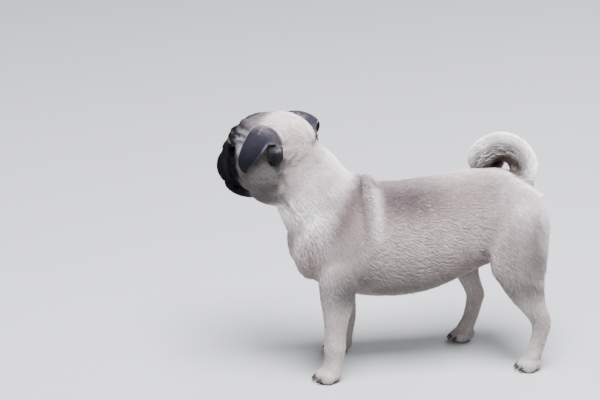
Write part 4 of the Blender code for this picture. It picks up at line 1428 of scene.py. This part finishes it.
def nose_material(look):
    """Moist black leather with a pebbled grain."""
    made, tree, shader = new_material("nose_leather", 0.55, 0.25)
    place = add_node(tree, "ShaderNodeTexCoord").outputs["Object"]
    cells = add_node(tree, "ShaderNodeTexVoronoi", {"Vector": place, "Scale": 1100}).outputs["Distance"]
    painted(tree, shader, ramp(tree, cells, ((0.0, look.nose), (1.0, [c * 1.5 for c in look.nose]))))
    bumped(tree, shader, cells, 0.45, 0.0003)
    return made


def eye_material(look):
    """A black pupil, a dark brown iris and a dark rim, under a wet surface."""
    made, tree, shader = new_material("eye_gloss", 0.12, 0.12)
    shader.inputs["Coat Weight"].default_value = 0.05
    shader.inputs["Coat Roughness"].default_value = 0.03
    away = attribute_node(tree, "from_pupil").outputs["Fac"]
    grain = noise(tree, 700, 4)
    iris = mixed_colour(tree, grain, (*[c * 0.45 for c in look.iris], 1), (*look.iris, 1))
    on_iris = grey_ramp(tree, away, ((0.0, 0), (0.16, 0), (0.2, 1), (0.32, 1), (0.38, 0)))
    base = mixed_colour(tree, on_iris, (*look.pupil, 1), iris)
    on_white = grey_ramp(tree, away, ((0.0, 0), (0.42, 0), (0.55, 1)))
    painted(tree, shader, mixed_colour(tree, on_white, base, (*look.eye_white, 1)))
    return made


def claw_material(look):
    """Dark horn, lighter towards the root."""
    made, tree, shader = new_material("claw_horn", 0.35)
    reach = attribute_node(tree, "reach").outputs["Fac"]
    grain = noise(tree, 1500)
    horn = ramp(tree, reach, ((0.0, [c * 3 for c in look.horn]), (0.5, look.horn)))
    streak = grey_ramp(tree, grain, ((0.3, 0.7), (0.7, 1.2)))
    painted(tree, shader, multiplied(tree, horn, streak))
    bumped(tree, shader, grain, 0.3, 0.0002)
    return made


def floor_material():
    """A pale matt floor, very slightly clouded."""
    made, tree, shader = new_material("pale_floor", 0.9)
    clouds = noise(tree, 3, 2)
    painted(tree, shader, ramp(tree, clouds, ((0.0, (0.39, 0.39, 0.385)), (1.0, (0.415, 0.415, 0.41)))))
    return made


# Pieces

def dress(obj, material):
    """Gives a piece its one material and a smooth face."""
    obj.data.materials.clear()
    obj.data.materials.append(material)
    obj.data.shade_smooth()


def write_coat(mesh, regions, look):
    """Writes on the skin what its tufts need: their colour, lie, length, lift, closeness and stretch."""
    colours = coat_colours(regions, look)
    length = coat_length(regions, look)
    write_attribute(mesh, "fur", "FLOAT_COLOR", np.hstack([colours, np.ones((len(colours), 1))]))
    write_attribute(mesh, "lie", "FLOAT_VECTOR", lie_of_coat(regions))
    write_attribute(mesh, "length", "FLOAT", length * MM)
    write_attribute(mesh, "lift", "FLOAT", coat_lift(regions))
    write_attribute(mesh, "closeness", "FLOAT", coat_closeness(regions, length, look))
    write_attribute(mesh, "part", "INT", coat_part(regions))


def thin_out(obj, most):
    """Brings a piece down to so many triangles."""
    triangles = sum(len(face.vertices) - 2 for face in obj.data.polygons)
    if triangles > most:
        step = obj.modifiers.new("thin", "DECIMATE")
        step.ratio = most / triangles
        settle(obj)


def make_skin(flesh_look, coat_look):
    """The one skin, with its folds, its markings and what the coat needs to know at each point."""
    obj = flesh(flesh_look.voxel, flesh_look.rounds)
    skin = Skin(obj)
    ease_nape(skin)
    press_folds(skin)
    skin.write()
    skin.sink(flesh_look.coat_depth * depth_share(Regions(skin)))
    skin.write()
    write_coat(obj.data, Regions(skin), coat_look)
    into_frame(obj)
    thin_out(obj, flesh_look.triangles)
    dress(obj, skin_material())
    unwrap(obj)
    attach(obj, "root")
    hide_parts(*FLESH_NODES)


def make_coat(look):
    """The coat's stretches, each a joined mesh of tufts over one part of the skin."""
    skin = bpy.data.objects["skin"]
    pattern = tuft()
    tree = coat_tree()
    fur = coat_material()
    for name, part in COAT_NUMBERS.items():
        obj = link(name, skin.data.copy())
        run_tree(obj, tree, {
            "Tuft": pattern, "Material": fur, "Part": part, "Seed": look.seed + part,
            "Tufts per square metre": look.density / MM**2, "Width": look.tuft_width * MM,
            "Disorder": math.radians(look.disorder), "Patch": TUFT_PATCH,
        })
        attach(obj, "root")
    bpy.data.objects.remove(pattern)


def make_eyes(look):
    """Two wet eyeballs, each with a cornea that stands out a little."""
    material = eye_material(look)
    for name, side in (("left", 1), ("right", -1)):
        turn = math.radians(GAZE * side)
        gaze = head_matrix().to_3x3() @ Vector((math.cos(turn), math.sin(turn), 0))
        shape = bmesh.new()
        bmesh.ops.create_uvsphere(shape, u_segments=48, v_segments=32, radius=1)
        away = []
        for vert in shape.verts:
            angle = vert.co.angle(Vector((0, 0, 1)))
            bulge = look.cornea * bell(angle, 0, CORNEA_WIDTH)
            away.append(angle / math.pi)
            vert.co *= EYE_RADIUS * (1 + bulge)
        shape.transform(gaze.to_track_quat("Z", "Y").to_matrix().to_4x4())
        shape.transform(Matrix.Translation(eye_centre(side)))
        obj = from_bmesh(f"eyeball_{name}", shape)
        write_attribute(obj.data, "from_pupil", "FLOAT", away)
        dress(obj, material)
        into_frame(obj)
        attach(obj, "root")
        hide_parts(f"eye_{name}")


def make_nose(look):
    """The nose leather, with comma-shaped nostrils and a line down its middle."""
    clay = Clay(head_matrix())
    clay.forms(NOSE_FORMS)
    obj = clay.fused("nose_pad", *NOSE_FUSING)
    skin = Skin(obj)
    for side in (-1, 1):
        skin.fold(mirrored(NOSTRIL, side), look.nostril_depth, 1.25, 0.3, head_matrix(), 8)
    skin.fold(NOSE_LINE, 0.7, 0.7, 0.1, head_matrix())
    skin.write()
    dress(obj, nose_material(look))
    into_frame(obj)
    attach(obj, "root")
    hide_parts("nose")


def claw(look):
    """One curved, tapering claw along +X, ready to be set on a toe."""
    bend = math.radians(look.claw_curve)
    radius = look.claw_length / max(bend, 0.01)
    steps = np.linspace(0, 1, CLAW_RINGS)
    around = np.arange(CLAW_SIDES) * 2 * math.pi / CLAW_SIDES
    rings = []
    for t in steps:
        angle = bend * t
        centre = Vector((math.sin(angle) * radius, 0, (math.cos(angle) - 1) * radius))
        up = Vector((math.sin(angle), 0, math.cos(angle))) * CLAW_HEIGHT
        wide = look.claw_radius * (1 - t) ** CLAW_TAPER + CLAW_TIP
        rings.append([centre + (up * math.sin(a) + Vector((0, math.cos(a), 0))) * wide for a in around])
    clay = Clay()
    clay.loft(rings)
    obj = from_bmesh("claw", clay.shells)
    write_attribute(obj.data, "reach", "FLOAT", np.repeat(steps, CLAW_SIDES))
    return obj


def claw_tree():
    """Sets one claw on each point, turned as the point says."""
    tree, given, out = new_tree("claws", {"Claw": "Object", "Material": "Material"})
    turn = add_node(tree, "FunctionNodeEulerToRotation", {"Euler": named(tree, "turn", "FLOAT_VECTOR")})
    one = add_node(tree, "GeometryNodeObjectInfo", {"Object": given["Claw"]})
    set_on = add_node(
        tree, "GeometryNodeInstanceOnPoints",
        {"Points": given["Geometry"], "Instance": one.outputs["Geometry"],
         "Rotation": turn.outputs["Rotation"], "Scale": named(tree, "size")},
    )
    real = add_node(tree, "GeometryNodeRealizeInstances", {"Geometry": set_on.outputs["Instances"]})
    return finished(tree, real, given, out)


def make_claws(look):
    """All sixteen claws, one at the front of each toe."""
    pattern = claw(look)
    places, turns, sizes = [], [], []
    for (x, y, z), turn, size in toe_places():
        places.append((x - CLAW_AHEAD * size, y, z + CLAW_UP * size))
        turns.append((0, math.radians(CLAW_DROOP), math.radians(180 + turn)))
        sizes.append(size)
    mesh = bpy.data.meshes.new("claws")
    mesh.from_pydata(places, [], [])
    write_attribute(mesh, "turn", "FLOAT_VECTOR", turns)
    write_attribute(mesh, "size", "FLOAT", sizes)
    obj = link("claws", mesh)
    run_tree(obj, claw_tree(), {"Claw": pattern, "Material": claw_material(look)})
    obj.data.shade_smooth()
    bpy.data.objects.remove(pattern)
    into_frame(obj)
    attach(obj, "root")


def aimed(name, data, place, way):
    """A lamp or camera at a place, looking the given way."""
    obj = link(name, data)
    obj.location = place
    obj.rotation_mode = "QUATERNION"
    obj.rotation_quaternion = way.to_track_quat("-Z", "Y")
    return obj


def make_camera():
    """The camera at the photograph's angle, with the dog where the photograph has it."""
    azimuth, elevation = math.radians(CAMERA_AZIMUTH), math.radians(CAMERA_ELEVATION)
    right = Vector((math.cos(azimuth), math.sin(azimuth), 0))
    level = math.cos(elevation)
    back = Vector((math.sin(azimuth) * level, -math.cos(azimuth) * level, math.sin(elevation)))
    place = SHIFT - right * DOG_RIGHT + back.cross(right) * DOG_BELOW + back * CAMERA_DISTANCE
    camera = bpy.data.cameras.new("camera")
    camera.sensor_width = SENSOR
    camera.lens = SENSOR * CAMERA_DISTANCE / PICTURE_WIDTH
    camera.clip_start, camera.clip_end = CAMERA_CLIP
    bpy.context.scene.camera = aimed("camera", camera, place, -back)


def make_stage(look):
    """A plain pale floor, soft lights, and the camera at the photograph's angle."""
    shape = bmesh.new()
    bmesh.ops.create_circle(shape, cap_ends=True, segments=64, radius=look.floor_radius)
    floor = from_bmesh("floor", shape)
    floor.data.materials.append(floor_material())
    world = bpy.data.worlds.new("studio")
    bpy.context.scene.world = world
    world.use_nodes = True
    sky = world.node_tree.nodes["Background"]
    sky.inputs["Color"].default_value = SKY_COLOUR
    sky.inputs["Strength"].default_value = look.sky
    for name, (place, size) in LAMPS.items():
        lamp = bpy.data.lights.new(name, "AREA")
        lamp.energy = getattr(look, name)
        lamp.color = LAMP_COLOUR
        lamp.size = size
        aimed(name, lamp, SHIFT + Vector(LAMP_AIM) + Vector(place), -Vector(place))
    make_camera()


# What a user may change

def colour_property(name, description, default):
    return FloatVectorProperty(
        name=name, description=description, default=default, subtype="COLOR", size=3, min=0, max=1
    )


def number_property(name, description, default, **more):
    return FloatProperty(name=name, description=description, default=default, **more)


def count_property(name, description, default, **more):
    return IntProperty(name=name, description=description, default=default, **more)


class PugFlesh(bpy.types.PropertyGroup):
    voxel: number_property("Skin grid", "Grid size of the skin in millimetres", 0.85, min=0.6)
    rounds: count_property("Easing", "Rounds of smoothing of the skin", 4, min=0)
    coat_depth: number_property("Coat depth", "How far the skin lies inside the coat, in millimetres", 1.1)
    triangles: count_property("Triangles", "The most triangles that the skin may have", 180000)


class PugCoat(bpy.types.PropertyGroup):
    fawn: colour_property("Fawn", "Most of the coat", (0.5, 0.424, 0.405))
    cream: colour_property("Cream", "Crown and the root of the tail", (0.86, 0.79, 0.78))
    # The white fur of the neck and rump, and a painted highlight on the ridge behind the withers.
    white: colour_property("White", "Neck, rump and the ridge behind the withers", (0.95, 0.92, 0.92))
    pale: colour_property("Pale", "Belly, legs and paws", (0.56, 0.505, 0.475))
    # Painted shade: the cheek, the throat, the lower flanks, the underside, the haunch and the elbow.
    shade: colour_property("Shade", "Cheek, throat, flank and elbow", (0.115, 0.11, 0.103))
    # The grey brown trace behind the withers, and painted shade in the groove of the fold there.
    trace_and_fold_shade: colour_property("Saddle", "Grey brown behind the withers", (0.18, 0.142, 0.146))
    # The tan of the band down the shoulder, and painted shade on the chest.
    tan: colour_property("Tan", "The chest and the band down the shoulder", (0.34, 0.27, 0.265))
    wrinkle: colour_property("Wrinkle", "Forehead and the root of the ear", (0.062, 0.058, 0.064))
    patch: colour_property("Patch", "Light fur behind the eye", (0.34, 0.33, 0.375))
    mask: colour_property("Mask", "Black of the face", (0.0055, 0.0055, 0.0075))
    # The ears' own black, with a bluish tint that is a painted sheen of the sky on the velvet.
    ear: colour_property("Ear", "Black of the ears", (0.028, 0.026, 0.038))
    rim: colour_property("Rim", "Pale rim of the ear", (0.4, 0.39, 0.42))
    inner_ear: colour_property("Inner ear", "Skin inside the ear", (0.011, 0.009, 0.0105))
    tail_outside: colour_property("Outside of the tail", "White fur round the curl", (0.97, 0.95, 0.93))
    # Painted shade, in brown, on the fur inside the tail's curl.
    tail_curl_shade: colour_property("Inside of the tail", "Fur that faces into the curl", (0.1, 0.068, 0.058))
    body_length: number_property("Body fur", "Length on the body in millimetres", 5.2)
    face_length: number_property("Face fur", "Length on the face and ears in millimetres", 2.0)
    tail_length: number_property("Tail fur", "Length on the tail in millimetres", 7.0)
    tuft_width: number_property("Tuft width", "Width of a tuft in millimetres", 0.44)
    density: number_property("Density", "Tufts on a square millimetre of the body", 1.32)
    disorder: number_property("Disorder", "How far tufts turn from the lie, in degrees", 12)
    seed: count_property("Seed", "Start of the random draws", 20)


class PugDetails(bpy.types.PropertyGroup):
    iris: colour_property("Iris", "Brown of the iris", (0.014, 0.007, 0.005))
    pupil: colour_property("Pupil", "Black of the pupil", (0.002, 0.002, 0.002))
    eye_white: colour_property("Eye white", "Edge of the eyeball under the lids", (0.022, 0.018, 0.017))
    nose: colour_property("Nose", "Nose leather", (0.007, 0.0065, 0.008))
    horn: colour_property("Horn", "Claws", (0.028, 0.022, 0.018))
    cornea: number_property("Cornea", "How far the cornea stands out, as a share of the eye", 0.04)
    nostril_depth: number_property("Nostrils", "Depth of the nostrils in millimetres", 2.6)
    claw_length: number_property("Claw length", "Length of a claw in millimetres", 6.5)
    claw_radius: number_property("Claw radius", "Radius of a claw's root in millimetres", 1.5)
    claw_curve: number_property("Claw curve", "How far a claw bends, in degrees", 55)


class PugStage(bpy.types.PropertyGroup):
    floor_radius: number_property("Floor", "Radius of the floor", 8, unit="LENGTH")
    sky: number_property("Sky", "Strength of the light from all round", 0.25)
    key: number_property("Key light", "Power of the main light in watts", 330)
    fill: number_property("Fill light", "Power of the second light in watts", 9)
    back: number_property("Back light", "Power of the light from behind in watts", 42)


class PUG_OT_stage(bpy.types.Operator):
    """Make the floor, the lights and the camera"""

    bl_idname = "pug.stage"
    bl_label = "Stage"

    def execute(self, context):
        make_stage(context.scene.pug_stage)
        return {"FINISHED"}


class PUG_OT_skin(bpy.types.Operator):
    """Make the dog's skin with its folds and markings"""

    bl_idname = "pug.skin"
    bl_label = "Skin"

    def execute(self, context):
        make_skin(context.scene.pug_flesh, context.scene.pug_coat)
        return {"FINISHED"}


class PUG_OT_coat(bpy.types.Operator):
    """Lay the coat's tufts over the skin"""

    bl_idname = "pug.coat"
    bl_label = "Coat"

    def execute(self, context):
        if "skin" not in bpy.data.objects:
            raise RuntimeError("make the skin before its coat")
        make_coat(context.scene.pug_coat)
        return {"FINISHED"}


class PUG_OT_eyes(bpy.types.Operator):
    """Make the two eyes"""

    bl_idname = "pug.eyes"
    bl_label = "Eyes"

    def execute(self, context):
        make_eyes(context.scene.pug_details)
        return {"FINISHED"}


class PUG_OT_nose(bpy.types.Operator):
    """Make the nose leather"""

    bl_idname = "pug.nose"
    bl_label = "Nose"

    def execute(self, context):
        make_nose(context.scene.pug_details)
        return {"FINISHED"}


class PUG_OT_claws(bpy.types.Operator):
    """Make the claws of all four paws"""

    bl_idname = "pug.claws"
    bl_label = "Claws"

    def execute(self, context):
        make_claws(context.scene.pug_details)
        return {"FINISHED"}


class PUG_PT_panel(bpy.types.Panel):
    """Lists the dog's pieces and their settings"""

    bl_idname = "PUG_PT_panel"
    bl_label = "Pug puppy"
    bl_space_type = "VIEW_3D"
    bl_region_type = "UI"
    bl_category = "Pug"

    def draw(self, context):
        for operator in OPERATORS:
            self.layout.operator(operator.bl_idname)
        for group in SETTINGS:
            for name in SETTINGS[group].__annotations__:
                self.layout.prop(getattr(context.scene, group), name)


SETTINGS = {"pug_flesh": PugFlesh, "pug_coat": PugCoat, "pug_details": PugDetails, "pug_stage": PugStage}
OPERATORS = (PUG_OT_stage, PUG_OT_skin, PUG_OT_coat, PUG_OT_eyes, PUG_OT_nose, PUG_OT_claws)


def register():
    for group, settings in SETTINGS.items():
        bpy.utils.register_class(settings)
        setattr(bpy.types.Scene, group, PointerProperty(type=settings))
    for operator in OPERATORS:
        bpy.utils.register_class(operator)
    bpy.utils.register_class(PUG_PT_panel)


def unregister():
    bpy.utils.unregister_class(PUG_PT_panel)
    for operator in reversed(OPERATORS):
        bpy.utils.unregister_class(operator)
    for group, settings in SETTINGS.items():
        delattr(bpy.types.Scene, group)
        bpy.utils.unregister_class(settings)


def main():
    register()
    bpy.ops.pug.stage()
    bpy.ops.pug.skin()
    bpy.ops.pug.coat()
    bpy.ops.pug.eyes()
    bpy.ops.pug.nose()
    bpy.ops.pug.claws()


if __name__ == "__main__":
    main()
